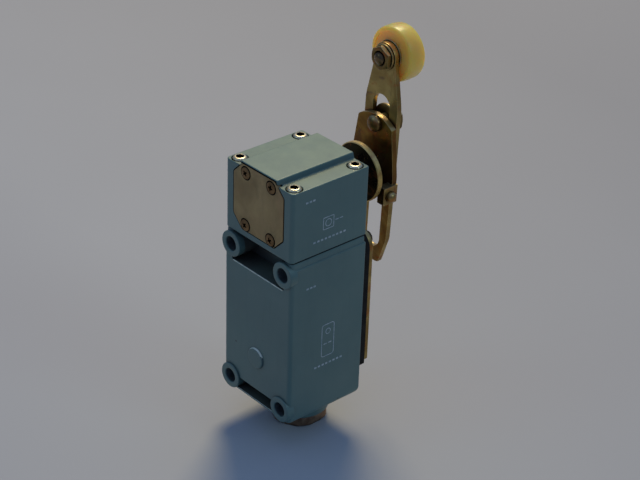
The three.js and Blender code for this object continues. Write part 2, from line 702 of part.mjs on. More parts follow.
PLUNGERS.forEach((plunger) => {
  place(`plunger_${plunger.side}`, plungerRod(plunger), 'steel');
  place(`return_spring_${plunger.side}`, returnSpring(plunger), 'steel');
  place(`contact_bridge_${plunger.side}`, contactBridge(plunger), 'brass');
});

// ---- contact block -----------------------------------------------------------------------------
const FINGER_REACH = 6.8; // a fixed contact's distance from the centre of its bridge
const FOOT = 1.2;
const terminals = PLUNGERS.flatMap(({ x, y }) =>
  SIDES.map((side) => ({ x: x + Math.sign(x) * BRIDGE_SHIFT + side * FINGER_REACH, y })),
);
const TERMINAL_SCREW = { z: -11.2, r: 1.3 };
const TAB_LOW = -13.3;

function contactBlock() {
  const { half, rear, front, low, high } = BLOCK;
  const corner = 4; // the lower corners clear the pillars of the body cavity
  const outline = polygon([
    [-half + corner, low], [half - corner, low], [half, low + corner],
    [half, high], [-half, high], [-half, low + corner],
  ]);
  return cut(
    alongY(outline, rear, front),
    alongY(
      rectangle(-CHAMBER.half, CHAMBER.half, CHAMBER.low, CHAMBER.high), CHAMBER.rear, front + PAST,
    ),
    ...PLUNGERS.map(({ x, y }) => rodZ(STEM_R + 0.4, CHAMBER.high - PAST, high + PAST, x, y)),
    ...blockScrewPoints.map(([x, z]) =>
      rodY(BLOCK_SCREW.r + THREAD, rear - PAST, front + PAST, x, z, 16)),
    ...terminals.map(({ x }) =>
      rodY(TERMINAL_SCREW.r + THREAD, front - 7, front + PAST, x, TERMINAL_SCREW.z, 16)),
  );
}

// A fixed contact: a finger under its bridge, a foot along the chamber floor and a front tab.
function terminal({ x, y }) {
  const floor = CHAMBER.low + 0.05;
  const tabRear = BLOCK.front + 0.05;
  const profile = polygon([
    [y - FOOT / 2, floor], [tabRear, floor], [tabRear, TAB_LOW], [tabRear + FOOT, TAB_LOW],
    [tabRear + FOOT, floor + FOOT], [y + FOOT / 2, floor + FOOT],
    [y + FOOT / 2, BRIDGE_Z - CONTACT_GAP], [y - FOOT / 2, BRIDGE_Z - CONTACT_GAP],
  ]);
  const half = 2.2;
  const holeR = TERMINAL_SCREW.r + THREAD;
  const hole = rodY(holeR, tabRear - PAST, tabRear + FOOT + PAST, x, TERMINAL_SCREW.z, 16);
  return cut(alongX(profile, x - half, x + half), hole);
}

place('contact_block', contactBlock(), 'bakelite');
terminals.forEach((spot, i) => {
  const seat = BLOCK.front + FOOT + 0.1;
  const screw = {
    x: spot.x,
    z: TERMINAL_SCREW.z,
    r: TERMINAL_SCREW.r,
    headR: 2.1,
    tip: BLOCK.front - 6,
    seat,
    top: seat + 1.6,
  };
  place(`terminal_${i + 1}`, terminal(spot), 'brass');
  place(`terminal_screw_${i + 1}`, slottedScrew(screw), 'brass');
});
blockScrewPoints.forEach(([x, z], i) => {
  const seat = BLOCK.front + 0.05;
  const { r, rear } = BLOCK_SCREW;
  const screw = { x, z, r, headR: 1.9, tip: rear + 1, seat, top: seat + 1.4 };
  place(`block_screw_${i + 1}`, slottedScrew(screw), 'steel');
});
const earthScrew = {
  x: EARTH.x,
  z: EARTH.z,
  r: EARTH.r,
  headR: 2.6,
  tip: EARTH.rear + 0.2,
  seat: CAVITY_REAR + 0.05,
  top: CAVITY_REAR + 2,
};
place('earth_screw', slottedScrew(earthScrew), 'steel');

// ---- lever base, clamped on the shaft ----------------------------------------------------------
// Shapes from here on are drawn about the shaft axis and tilt with the lever group.
function baseOutline() {
  const cornerX = 9.3;
  const cornerZ = 19.3;
  const crownR = 14.5;
  const crownZ = cornerZ - Math.sqrt(crownR ** 2 - cornerX ** 2);
  const spread = Math.asin(cornerX / crownR);
  const shape = new THREE.Shape();
  shape.moveTo(-BASE_HALF, EAR.low);
  shape.lineTo(BASE_HALF, EAR.low);
  shape.lineTo(BASE_HALF, 0);
  shape.absarc(0, crownZ, crownR, TURN / 4 - spread, TURN / 4 + spread);
  shape.lineTo(-BASE_HALF, 0);
  return shape;
}

function leverBase() {
  const slitHalf = 0.9;
  const ear = (side) => {
    const x0 = side < 0 ? -EAR.outer : EAR.inner;
    return alongX(rectangle(EAR.rear, BASE_FRONT, EAR.low, EAR.high), x0, x0 + EAR.outer - EAR.inner);
  };
  return cut(
    join(alongY(baseOutline(), BASE_REAR, BASE_FRONT), ear(-1), ear(1)),
    rodY(SHAFT_R + PRESS, BASE_REAR - PAST, BASE_FRONT + PAST, 0, 0, SHAFT_SIDES),
    rodY(CLAMP.r + 0.3, BASE_REAR - PAST, BASE_FRONT + PAST, CLAMP.x, CLAMP.z),
    alongY(rectangle(-slitHalf, slitHalf, EAR.low - PAST, 0), BASE_REAR - PAST, BASE_FRONT + PAST),
    rodX(PINCH.r + 0.3, -EAR.outer - PAST, EAR.outer + PAST, PINCH.y, PINCH.z),
  );
}

// A screw or bolt with a domed head: shank and dome on one axis along Y, the dome towards -Y.
function domedBolt(shankR, headR, crown, seat, tip) {
  const steps = 4;
  const dome = [];
  const rim = 0.8;
  for (let i = 0; i <= steps; i += 1) {
    const a = ((i / steps) * TURN) / 4;
    dome.push([headR * Math.cos(a), seat - rim - (seat - rim - crown) * Math.sin(a)]);
  }
  dome[steps][0] = 0;
  return turned([[0, tip], [shankR, tip], [shankR, seat], [headR, seat], ...dome].reverse(), 20);
}

// The domed head is on the +X ear and the point passes through the nut on the -X ear.
function pinchScrew() {
  const seat = -EAR.outer - 0.1;
  const bolt = domedBolt(PINCH.r, 2.5, seat - 2.2, seat, EAR.outer + 3.6);
  return bolt.rotateZ(TURN / 4).translate(0, PINCH.y, PINCH.z);
}

function hexNut(across, boreR, y0, y1) {
  const cornerR = across / 2 / Math.cos(TURN / 12);
  const crown = turned([[0, y0], [across / 2 - 0.2, y0], [cornerR + 0.1, y0 + 0.7],
    [cornerR + 0.1, y1 - 0.6], [across / 2 + 0.2, y1], [0, y1]]);
  const hex = alongY(regularPolygon(6, cornerR, 0, 0, TURN / 12), y0 - PAST, y1 + PAST);
  return cut(common(crown, hex), rodY(boreR, y0 - PAST, y1 + PAST));
}

function pinchNut() {
  const near = -EAR.outer - 0.1;
  const far = near - 2.4;
  const square = alongX(rectangle(-2.9, 2.9, -2.9, 2.9), far, near);
  const bore = rodX(PINCH.r + THREAD, far - PAST, near + PAST);
  return cut(square, bore).translate(0, PINCH.y, PINCH.z);
}

const CLAMP_WASHER = { rear: ARM_FRONT + GAP, front: ARM_FRONT + GAP + 1.2 };
const shiftToClamp = (geometry) => geometry.translate(CLAMP.x, 0, CLAMP.z);

place('lever_disc', ringY(DISC_R, SHAFT_R + PRESS, DISC_REAR, DISC_FRONT, 0, 0, 32), 'chromate', lever);
place('lever_base', leverBase(), 'chromate', lever);
place('pinch_screw', pinchScrew(), 'chromate', lever);
place('pinch_nut', pinchNut(), 'chromate', lever);
place(
  'clamp_bolt',
  shiftToClamp(domedBolt(CLAMP.r, 3.7, BASE_REAR - 2.6, BASE_REAR - 0.1, 67.4)),
  'chromate', lever,
);
place(
  'clamp_washer',
  shiftToClamp(ringY(6.4, CLAMP.r + PRESS, CLAMP_WASHER.rear, CLAMP_WASHER.front)),
  'chromate', lever,
);
place(
  'clamp_nut',
  shiftToClamp(hexNut(10, CLAMP.r + THREAD, CLAMP_WASHER.front + 0.1, CLAMP_WASHER.front + 3.3)),
  'chromate', lever,
);

// ---- slotted arm and roller --------------------------------------------------------------------
function armOutline() {
  const taperFoot = { half: 8.8, z: 27 };
  const shoulder = { half: 5.9, z: 41.5 };
  const tail = { half: 8.3, z: -30 };
  const tip = { half: 3.2, shoulder: 5.2, z: -42.4, rise: 1.9 };
  const shape = new THREE.Shape();
  shape.moveTo(-tip.half, tip.z);
  shape.lineTo(tip.half, tip.z);
  shape.quadraticCurveTo(tip.shoulder - 0.2, tip.z, tip.shoulder, tip.z + tip.rise);
  shape.lineTo(tail.half, tail.z);
  shape.lineTo(taperFoot.half, 0);
  shape.lineTo(taperFoot.half, taperFoot.z);
  shape.lineTo(shoulder.half, shoulder.z);
  const spread = radians(100);
  const steps = 14;
  for (let i = 0; i <= steps; i += 1) {
    const a = spread - (2 * spread * i) / steps;
    shape.lineTo(ARM_END_R * Math.sin(a), AXLE_HEIGHT + ARM_END_R * Math.cos(a));
  }
  shape.lineTo(-shoulder.half, shoulder.z);
  shape.lineTo(-taperFoot.half, taperFoot.z);
  shape.lineTo(-taperFoot.half, 0);
  shape.lineTo(-tail.half, tail.z);
  shape.lineTo(-tip.shoulder, tip.z + tip.rise);
  shape.quadraticCurveTo(-tip.shoulder + 0.2, tip.z, -tip.half, tip.z);
  return shape;
}

function leverArm() {
  const slot = new THREE.Shape();
  slot.absarc(0, SLOT_LOW, SLOT_HALF, TURN / 2, TURN);
  slot.absarc(0, SLOT_HIGH, SLOT_HALF, 0, TURN / 2);
  const slotTool = new THREE.ExtrudeGeometry(slot, {
    depth: ARM_FRONT - ARM_REAR + 2 * PAST, bevelEnabled: false, curveSegments: 14,
  }).rotateX(TURN / 4).translate(0, ARM_FRONT + PAST, 0);
  return cut(
    alongY(armOutline(), ARM_REAR, ARM_FRONT),
    slotTool,
    rodY(AXLE.threadR + PRESS, ARM_REAR - PAST, ARM_FRONT + PAST, 0, AXLE_HEIGHT),
  );
}

const AXLE = { threadR: 2.5, shoulderR: 4, headR: 5.6, tip: 54.9 };
const toAxle = (geometry) => geometry.translate(0, 0, AXLE_HEIGHT);

function rollerAxle() {
  const { threadR, shoulderR, headR, tip } = AXLE;
  const seat = ARM_FRONT + 0.1;
  const headRear = ROLLER_FRONT + 0.3;
  const headFront = headRear + 2.2;
  const body = turned([
    [0, tip], [threadR * 0.7, tip + 0.35], [threadR, tip + 1.2], [threadR, seat], [shoulderR, seat],
    [shoulderR, headRear], [headR, headRear], [headR, headFront - 0.8], [headR - 0.8, headFront],
    [0, headFront],
  ], 24);
  return cut(body, alongY(rectangle(-7, 7, -0.5, 0.5), headFront - 1.1, headFront + PAST));
}

function roller() {
  const r = ROLLER_R;
  const crown = 0.35;
  const edge = 0.9;
  const middle = (ROLLER_REAR + ROLLER_FRONT) / 2;
  const half = [
    [ROLLER_BORE_R, ROLLER_REAR], [r - edge, ROLLER_REAR],
    [r - 0.3 * edge, ROLLER_REAR + 0.3 * edge], [r - crown / 2, ROLLER_REAR + edge],
  ];
  const mirrored = half.map(([x, h]) => [x, 2 * middle - h]).reverse();
  return turned([...half, [r, middle], ...mirrored, half[0]], 32);
}

place('lever_arm', leverArm(), 'chromate', lever);
place('roller_axle', toAxle(rollerAxle()), 'chromate', lever);
const AXLE_RING_R = 6;
const spacer = ringY(AXLE_RING_R, AXLE.shoulderR + PRESS, ARM_FRONT + 0.1, ROLLER_REAR - 0.1);
place('roller_spacer', toAxle(spacer), 'chromate', lever);
const axleWasher = ringY(AXLE_RING_R, AXLE.threadR + PRESS, ARM_REAR - 0.9, ARM_REAR - 0.1);
place('axle_washer', toAxle(axleWasher), 'chromate', lever);
const axleNut = hexNut(8, AXLE.threadR + THREAD, ARM_REAR - 3, ARM_REAR - 1);
place('axle_nut', toAxle(axleNut), 'chromate', lever);
place('roller', toAxle(roller()), 'nylon', lever);

export default limitSwitch;
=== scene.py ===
import json
import math

import bmesh
import bpy
from mathutils import Matrix, Vector


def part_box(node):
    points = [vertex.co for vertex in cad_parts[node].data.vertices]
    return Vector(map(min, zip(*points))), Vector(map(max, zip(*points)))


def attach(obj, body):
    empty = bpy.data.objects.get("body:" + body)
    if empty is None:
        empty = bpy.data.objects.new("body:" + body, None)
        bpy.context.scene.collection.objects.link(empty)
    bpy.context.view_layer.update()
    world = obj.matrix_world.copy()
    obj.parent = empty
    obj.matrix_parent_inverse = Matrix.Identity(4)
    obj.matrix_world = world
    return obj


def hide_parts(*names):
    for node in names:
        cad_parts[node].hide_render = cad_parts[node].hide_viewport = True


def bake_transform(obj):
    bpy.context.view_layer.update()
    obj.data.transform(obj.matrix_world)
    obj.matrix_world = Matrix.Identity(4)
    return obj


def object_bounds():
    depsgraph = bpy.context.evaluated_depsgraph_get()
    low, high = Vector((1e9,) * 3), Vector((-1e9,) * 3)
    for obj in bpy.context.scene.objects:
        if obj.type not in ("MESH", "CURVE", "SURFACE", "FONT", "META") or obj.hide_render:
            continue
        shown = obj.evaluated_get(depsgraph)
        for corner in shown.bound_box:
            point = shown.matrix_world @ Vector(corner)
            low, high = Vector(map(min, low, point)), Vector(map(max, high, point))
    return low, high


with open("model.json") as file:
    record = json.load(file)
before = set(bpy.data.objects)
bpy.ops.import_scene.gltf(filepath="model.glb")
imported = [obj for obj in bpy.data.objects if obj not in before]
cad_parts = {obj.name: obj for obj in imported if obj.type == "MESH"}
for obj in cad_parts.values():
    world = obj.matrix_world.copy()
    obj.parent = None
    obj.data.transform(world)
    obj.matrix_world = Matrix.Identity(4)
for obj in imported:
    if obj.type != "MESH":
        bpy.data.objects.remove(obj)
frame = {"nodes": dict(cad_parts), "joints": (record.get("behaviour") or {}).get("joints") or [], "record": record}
cad_low, cad_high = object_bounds()

MM = 0.001
FULL = 2 * math.pi


# ---------------------------------------------------------------- where the CAD parts are, in mm
def box(node):
    low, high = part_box(node)
    return low / MM, high / MM


def centre(node):
    low, high = box(node)
    return (low + high) / 2


def size(node):
    low, high = box(node)
    return high - low


JOINTS = {j["name"]: j for j in frame["joints"]}
AXIS_Z = JOINTS["lever_turn"]["pos_m"][2] / MM
TILT = math.atan2(JOINTS["arm_length"]["axis"][0], JOINTS["arm_length"]["axis"][2])
LEVER = Matrix.Translation((0, 0, AXIS_Z)) @ Matrix.Rotation(TILT, 4, "Y")


# ---------------------------------------------------------------- mesh building, in mm
def new_object(name, bm, matrix=None):
    if matrix is not None:
        bm.transform(matrix)
    bmesh.ops.scale(bm, vec=(MM, MM, MM), verts=bm.verts)
    bmesh.ops.recalc_face_normals(bm, faces=bm.faces)
    mesh = bpy.data.meshes.new(name)
    bm.to_mesh(mesh)
    bm.free()
    obj = bpy.data.objects.new(name, mesh)
    bpy.context.scene.collection.objects.link(obj)
    return obj


def arc(cx, cy, r, a0, a1, steps):
    span = math.radians(a1 - a0)
    start = math.radians(a0)
    at = [start + span * i / steps for i in range(steps + 1)]
    return [(cx + r * math.cos(a), cy + r * math.sin(a)) for a in at]


def rectangle(half_x, half_y):
    return [(-half_x, -half_y), (half_x, -half_y), (half_x, half_y), (-half_x, half_y)]


def polygon(sides, r, cx, cy, turn):
    """The corners of a regular polygon; turn is where the first one is, in radians."""
    at = [turn + FULL * i / sides for i in range(sides)]
    return [(cx + r * math.cos(a), cy + r * math.sin(a)) for a in at]


def round_rect(x0, x1, y0, y1, r_low, r_high, steps=8):
    return (
        arc(x1 - r_low, y0 + r_low, r_low, -90, 0, steps)
        + arc(x1 - r_high, y1 - r_high, r_high, 0, 90, steps)
        + arc(x0 + r_high, y1 - r_high, r_high, 90, 180, steps)
        + arc(x0 + r_low, y0 + r_low, r_low, 180, 270, steps)
    )


def rounded(points, r, steps=5):
    """The outline with each corner turned into an arc-like curve that starts r before it."""
    out = []
    n = len(points)
    for i, corner in enumerate(points):
        c = Vector(corner)
        a = Vector(points[i - 1]) - c
        b = Vector(points[(i + 1) % n]) - c
        reach = min(r, a.length * 0.45, b.length * 0.45)
        p, q = c + a.normalized() * reach, c + b.normalized() * reach
        for s in range(steps + 1):
            t = s / steps
            out.append(tuple(p.lerp(c, t).lerp(c.lerp(q, t), t)))
    return out


PLANES = {
    "x": lambda u, v, w: (w, u, v),
    "y": lambda u, v, w: (u, w, v),
    "z": lambda u, v, w: (u, v, w),
}


def skin(bm, loops):
    """Joins a row of vertex loops into one closed surface with a cap at each end."""
    n = len(loops[0])
    for low, high in zip(loops, loops[1:]):
        for i in range(n):
            bm.faces.new((low[i], low[(i + 1) % n], high[(i + 1) % n], high[i]))
    bm.faces.new(loops[0])
    bm.faces.new(loops[-1])


def loft(name, axis, rings, matrix=None):
    """Skins a stack of outlines, each (points, distance along the axis)."""
    bm = bmesh.new()
    place = PLANES[axis]
    skin(bm, [[bm.verts.new(place(u, v, w)) for u, v in points] for points, w in rings])
    return new_object(name, bm, matrix)


def prism(name, axis, points, low, high, matrix=None):
    return loft(name, axis, [(points, low), (points, high)], matrix)


def turned(name, axis, profile, cu=0.0, cv=0.0, steps=48, matrix=None, closed=False):
    """Spins (radius, distance along the axis) pairs about an axis line through (cu, cv)."""
    bm = bmesh.new()
    place = PLANES[axis]
    rows = []
    for r, w in profile:
        if r < 1e-6:
            rows.append([bm.verts.new(place(cu, cv, w))])
            continue
        turn = [FULL * i / steps for i in range(steps)]
        rows.append([bm.verts.new(place(cu + r * math.cos(a), cv + r * math.sin(a), w)) for a in turn])
    pairs = list(zip(rows, rows[1:]))
    if closed:
        pairs.append((rows[-1], rows[0]))
    for a, b in pairs:
        for i in range(steps):
            j = (i + 1) % steps
            ring = [a[i % len(a)], a[j % len(a)], b[j % len(b)], b[i % len(b)]]
            corners = list(dict.fromkeys(ring))
            if len(corners) > 2:
                bm.faces.new(corners)
    return new_object(name, bm, matrix)


def rod(name, axis, r, low, high, cu=0.0, cv=0.0, steps=40, matrix=None):
    return turned(name, axis, [(0, low), (r, low), (r, high), (0, high)], cu, cv, steps, matrix)


def bake(obj):
    """Replaces the object's mesh by the result of its modifiers."""
    graph = bpy.context.evaluated_depsgraph_get()
    graph.update()
    mesh = bpy.data.meshes.new_from_object(obj.evaluated_get(graph))
    obj.modifiers.clear()
    old = obj.data
    obj.data = mesh
    bpy.data.meshes.remove(old)


def combine(base, operation, tools):
    for tool in tools:
        mod = base.modifiers.new("boolean", "BOOLEAN")
        mod.operation = operation
        mod.solver = "EXACT"
        mod.object = tool
        bake(base)
        old = tool.data
        bpy.data.objects.remove(tool)
        bpy.data.meshes.remove(old)
    return base


def cut(base, *tools):
    return combine(base, "DIFFERENCE", tools)


def join(base, *tools):
    return combine(base, "UNION", tools)


def overlap(base, *tools):
    return combine(base, "INTERSECT", tools)


def soften(obj, width, segments=2, angle=32):
    mod = obj.modifiers.new("bevel", "BEVEL")
    mod.width = width * MM
    mod.segments = segments
    mod.limit_method = "ANGLE"
    mod.angle_limit = math.radians(angle)
    mod.use_clamp_overlap = False
    mod.miter_outer = "MITER_ARC"
    bake(obj)
    return obj


def shade(obj, angle=35):
    obj.data.shade_smooth()
    obj.data.set_sharp_from_angle(angle=math.radians(angle))
    mod = obj.modifiers.new("normals", "WEIGHTED_NORMAL")
    mod.keep_sharp = True
    bake(obj)
    return obj


# ---------------------------------------------------------------- finishes
class Nodes:
    """A short way to write a material's node tree. Noise scales are per metre; radii, reaches and
    bump distances are in mm."""

    def __init__(self, name):
        self.material = bpy.data.materials.new(name)
        self.material.use_nodes = True
        self.tree = self.material.node_tree
        self.shader = self.tree.nodes["Principled BSDF"]
        self.position = self.add("ShaderNodeTexCoord").outputs["Object"]

    def add(self, kind, **settings):
        node = self.tree.nodes.new(kind)
        for key, value in settings.items():
            setattr(node, key, value)
        return node

    def link(self, source, target):
        self.tree.links.new(source, target)

    def stretch(self, scale, shift=(0, 0, 0)):
        mapping = self.add("ShaderNodeMapping")
        mapping.inputs["Scale"].default_value = scale
        mapping.inputs["Location"].default_value = shift
        self.link(self.position, mapping.inputs["Vector"])
        return mapping.outputs["Vector"]

    def noise(self, scale, detail=4, rough=0.55, vector=None, distort=0.0):
        node = self.add("ShaderNodeTexNoise")
        node.inputs["Scale"].default_value = scale
        node.inputs["Detail"].default_value = detail
        node.inputs["Roughness"].default_value = rough
        node.inputs["Distortion"].default_value = distort
        self.link(vector or self.position, node.inputs["Vector"])
        return node.outputs["Fac"]

    def range(self, value, low, high, out_low=0.0, out_high=1.0):
        node = self.add("ShaderNodeMapRange")
        for key, number in zip(
            ("From Min", "From Max", "To Min", "To Max"), (low, high, out_low, out_high)
        ):
            node.inputs[key].default_value = number
        self.link(value, node.inputs["Value"])
        return node.outputs["Result"]

    def math(self, operation, a, b=None):
        node = self.add("ShaderNodeMath", operation=operation)
        for socket, value in zip(node.inputs, (a, b)):
            if value is None:
                continue
            if isinstance(value, (int, float)):
                socket.default_value = value
            else:
                self.link(value, socket)
        return node.outputs[0]

    def mix(self, factor, a, b):
        node = self.add("ShaderNodeMix", data_type="RGBA")
        for socket, value in ((node.inputs[0], factor), (node.inputs[6], a), (node.inputs[7], b)):
            if isinstance(value, (int, float)):
                socket.default_value = value
            elif isinstance(value, tuple):
                socket.default_value = (*value, 1)
            else:
                self.link(value, socket)
        return node.outputs[2]

    def facing_up(self):
        geometry = self.add("ShaderNodeNewGeometry")
        split = self.add("ShaderNodeSeparateXYZ")
        self.link(geometry.outputs["Normal"], split.inputs[0])
        return self.range(split.outputs["Z"], 0.3, 0.95)

    def edges(self, radius):
        """1 on convex or concave edges, 0 on flat ground."""
        bevel = self.add("ShaderNodeBevel", samples=6)
        bevel.inputs["Radius"].default_value = radius * MM
        geometry = self.add("ShaderNodeNewGeometry")
        dot = self.add("ShaderNodeVectorMath", operation="DOT_PRODUCT")
        self.link(bevel.outputs[0], dot.inputs[0])
        self.link(geometry.outputs["Normal"], dot.inputs[1])
        return self.range(dot.outputs["Value"], 0.995, 0.9)

    def crevice_shade(self, reach):
        """1 in corners that other surfaces crowd, 0 in the open; the finishes use it to paint shade into those
        corners.
        """
        ao = self.add("ShaderNodeAmbientOcclusion", samples=6)
        ao.inputs["Distance"].default_value = reach * MM
        return self.range(ao.outputs["AO"], 0.95, 0.35)

    def bump(self, height, strength, distance):
        node = self.add("ShaderNodeBump")
        node.inputs["Strength"].default_value = strength
        node.inputs["Distance"].default_value = distance * MM
        self.link(height, node.inputs["Height"])
        self.link(node.outputs[0], self.shader.inputs["Normal"])

    def set(self, color=None, roughness=None, metallic=None, **others):
        table = {"Base Color": color, "Roughness": roughness, "Metallic": metallic}
        table.update({key.replace("_", " "): value for key, value in others.items()})
        for key, value in table.items():
            if value is None:
                continue
            if isinstance(value, (int, float)):
                self.shader.inputs[key].default_value = value
            elif isinstance(value, tuple):
                socket = self.shader.inputs[key]
                socket.default_value = (*value, 1)[:len(socket.default_value)]
            else:
                self.link(value, self.shader.inputs[key])
        return self.material


def paint(name, grime=0.0):
    n = Nodes(name)
    tone = n.mix(n.range(n.noise(38, 3), 0.35, 0.65), (0.092, 0.175, 0.158), (0.112, 0.2, 0.176))
    streak = n.noise(1, 3, vector=n.stretch((420, 420, 45)))
    tone = n.mix(n.range(streak, 0.56, 0.72, 0, 0.25), tone, (0.07, 0.14, 0.13))
    # upward faces painted paler: partly dust, partly painted light on the tops
    dust_and_top_light = n.math("MULTIPLY", n.facing_up(), n.range(n.noise(160, 5), 0.3, 0.7, 0.2, 0.5))
    tone = n.mix(dust_and_top_light, tone, (0.26, 0.37, 0.24))
    edge = n.edges(0.45)
    # edges painted a lighter teal: painted highlight
    tone = n.mix(n.range(edge, 0, 1, 0, 0.2), tone, (0.24, 0.34, 0.3))
    chip = n.math("MULTIPLY", edge, n.range(n.noise(210, 2), 0.66, 0.7))
    tone = n.mix(chip, tone, (0.02, 0.022, 0.022))
    # corners and pockets painted darker: painted shade
    tone = n.mix(n.range(n.crevice_shade(2.2), 0, 1, 0, 0.7), tone, (0.03, 0.045, 0.05))
    tone = n.mix(n.range(n.crevice_shade(8), 0, 1, 0, 0.6), tone, (0.03, 0.045, 0.045))
    spot = n.add("ShaderNodeTexVoronoi")
    spot.inputs["Scale"].default_value = 125
    n.link(n.position, spot.inputs["Vector"])
    speck = n.range(spot.outputs["Distance"], 0.07, 0.04)
    sparse = n.range(n.noise(60, 1), 0.56, 0.6)
    tone = n.mix(n.math("MULTIPLY", speck, sparse), tone, (0.025, 0.03, 0.03))
    # darkens towards brown by the grime amount; in the pockets this is grime and painted shade
    tone = n.mix(n.range(n.noise(70, 4), 0.3, 0.7, grime * 0.6, grime), tone, (0.07, 0.058, 0.045))
    n.bump(n.noise(1300, 3), 0.16, 0.05)
    rough = n.range(n.noise(90, 4), 0.3, 0.7, 0.36, 0.5)
    return n.set(tone, rough, 0, Coat_Weight=0.2, Coat_Roughness=0.3)


def lip_highlight_paint():
    n = Nodes("painted_lip_highlight")
    # a near-white tone for the pocket lips and the raised disc's rim top: painted highlight
    tone = n.mix(n.range(n.noise(300, 4), 0.4, 0.65), (0.95, 0.95, 0.75), (0.55, 0.65, 0.5))
    n.bump(n.noise(1300, 3), 0.16, 0.05)
    return n.set(tone, 0.35, 0, Coat_Weight=0.3, Coat_Roughness=0.2)


def chromate(name, light=(1, 1, 1), seed=0.0, low=None, high=None, metal=0.85):
    """Yellow-passivated zinc: olive and gold with brown and purplish stains. light multiplies its
    red, green and blue, seed moves its pattern, and from height high down to low it is painted
    brown, as painted shade."""
    n = Nodes(name)
    place = n.stretch((1, 1, 1), (seed, seed * 0.7, seed * 1.3))
    cloud = n.noise(95, 4, vector=place, distort=0.8)
    dark = tuple(a * b for a, b in zip((0.3, 0.19, 0.055), light))
    pale = tuple(a * b for a, b in zip((0.5, 0.36, 0.12), light))
    tone = n.mix(n.range(cloud, 0.36, 0.62), dark, pale)
    stain = n.noise(150, 5, vector=place, distort=1.4)
    tone = n.mix(n.range(stain, 0.53, 0.68, 0, 0.8), tone, (0.42, 0.13, 0.03))
    film = n.noise(210, 3, vector=place, distort=0.6)
    tone = n.mix(n.range(film, 0.6, 0.74, 0, 0.55), tone, (0.09, 0.05, 0.06))
    # below height high the tone is painted brown down to low: painted shade
    if low is not None:
        split = n.add("ShaderNodeSeparateXYZ")
        n.link(n.position, split.inputs[0])
        height = n.math("ADD", split.outputs["Z"], n.range(cloud, 0.3, 0.7, -0.003, 0.003))
        tone = n.mix(n.range(height, high * MM, low * MM, 0, 0.85), tone, (0.1, 0.026, 0.009))
    # upward faces painted paler gold: painted highlight
    tone = n.mix(n.math("MULTIPLY", n.facing_up(), 0.6), tone, (0.85, 0.65, 0.3))
    # edges painted pale gold: painted highlight
    tone = n.mix(n.range(n.edges(0.35), 0, 1, 0, 0.75), tone, (0.85, 0.62, 0.26))
    # corners painted dark brown: painted shade
    tone = n.mix(n.range(n.crevice_shade(2.5), 0, 1, 0, 0.8), tone, (0.05, 0.025, 0.01))
    n.bump(n.noise(1100, 4), 0.22, 0.04)
    rough = n.range(n.noise(170, 4, vector=place), 0.3, 0.7, 0.24, 0.42)
    return n.set(tone, rough, metal)


def plated_steel(name, bright, dark, low, high, metal=1.0):
    n = Nodes(name)
    tone = n.mix(n.range(n.noise(260, 4), 0.35, 0.68), bright, dark)
    # corners painted near black: painted shade
    tone = n.mix(n.range(n.crevice_shade(1.6), 0, 1, 0, 0.85), tone, (0.02, 0.014, 0.01))
    n.bump(n.noise(1500, 3), 0.15, 0.03)
    return n.set(tone, n.range(n.noise(400, 3), 0.3, 0.7, low, high), metal)


def stained_plate():
    n = Nodes("stained_plate")
    cloud = n.noise(70, 5, distort=0.6)
    tone = n.mix(n.range(cloud, 0.36, 0.64), (0.33, 0.21, 0.075), (0.48, 0.32, 0.125))
    blush = n.noise(48, 3, distort=1.0)
    tone = n.mix(n.range(blush, 0.5, 0.68, 0, 0.45), tone, (0.48, 0.27, 0.12))
    wash = n.noise(1, 3, vector=n.stretch((130, 130, 60)))
    tone = n.mix(n.range(wash, 0.54, 0.7, 0, 0.5), tone, (0.2, 0.135, 0.05))
    spot = n.add("ShaderNodeTexVoronoi")
    spot.inputs["Scale"].default_value = 210
    n.link(n.position, spot.inputs["Vector"])
    speck = n.range(spot.outputs["Distance"], 0.16, 0.08)
    rust = n.math("MULTIPLY", speck, n.range(n.noise(75, 1), 0.55, 0.6))
    tone = n.mix(rust, tone, (0.08, 0.035, 0.012))
    # corners painted dark brown: painted shade
    tone = n.mix(n.range(n.crevice_shade(2.0), 0, 1, 0, 0.8), tone, (0.06, 0.03, 0.015))
    n.bump(n.noise(800, 5), 0.2, 0.05)
    return n.set(tone, n.range(n.noise(120, 4), 0.3, 0.7, 0.5, 0.68), 0.1)


def nylon():
    n = Nodes("ivory_nylon")
    tone = n.mix(n.range(n.noise(55, 4), 0.35, 0.65), (1.0, 0.5, 0.06), (1.0, 0.58, 0.1))
    grime = n.noise(140, 5, distort=0.6)
    tone = n.mix(n.range(grime, 0.54, 0.74, 0, 0.4), tone, (0.85, 0.42, 0.04))
    # corners painted darker orange: painted shade
    tone = n.mix(n.range(n.crevice_shade(3), 0, 1, 0, 0.5), tone, (0.6, 0.27, 0.03))
    n.bump(n.noise(900, 4), 0.14, 0.04)
    rough = n.range(n.noise(200, 3), 0.3, 0.7, 0.34, 0.5)
    return n.set(
        tone, rough, 0,
        Subsurface_Weight=1.0, Subsurface_Radius=(1.0, 0.4, 0.08), Subsurface_Scale=0.02,
        Coat_Weight=0.4, Coat_Roughness=0.25,
        Sheen_Weight=0.4, Sheen_Tint=(1.0, 0.8, 0.45), Sheen_Roughness=0.5,
        # the faint orange emission makes the roller glow: painted light
        Emission_Color=(1.0, 0.55, 0.08), Emission_Strength=0.05,
    )


def rubber():
    n = Nodes("black_rubber")
    tone = n.mix(n.range(n.noise(180, 4), 0.35, 0.7), (0.009, 0.008, 0.007), (0.02, 0.017, 0.014))
    n.bump(n.noise(1400, 4), 0.3, 0.05)
    return n.set(tone, n.range(n.noise(250, 3), 0.3, 0.7, 0.6, 0.85), 0, Specular_IOR_Level=0.2)


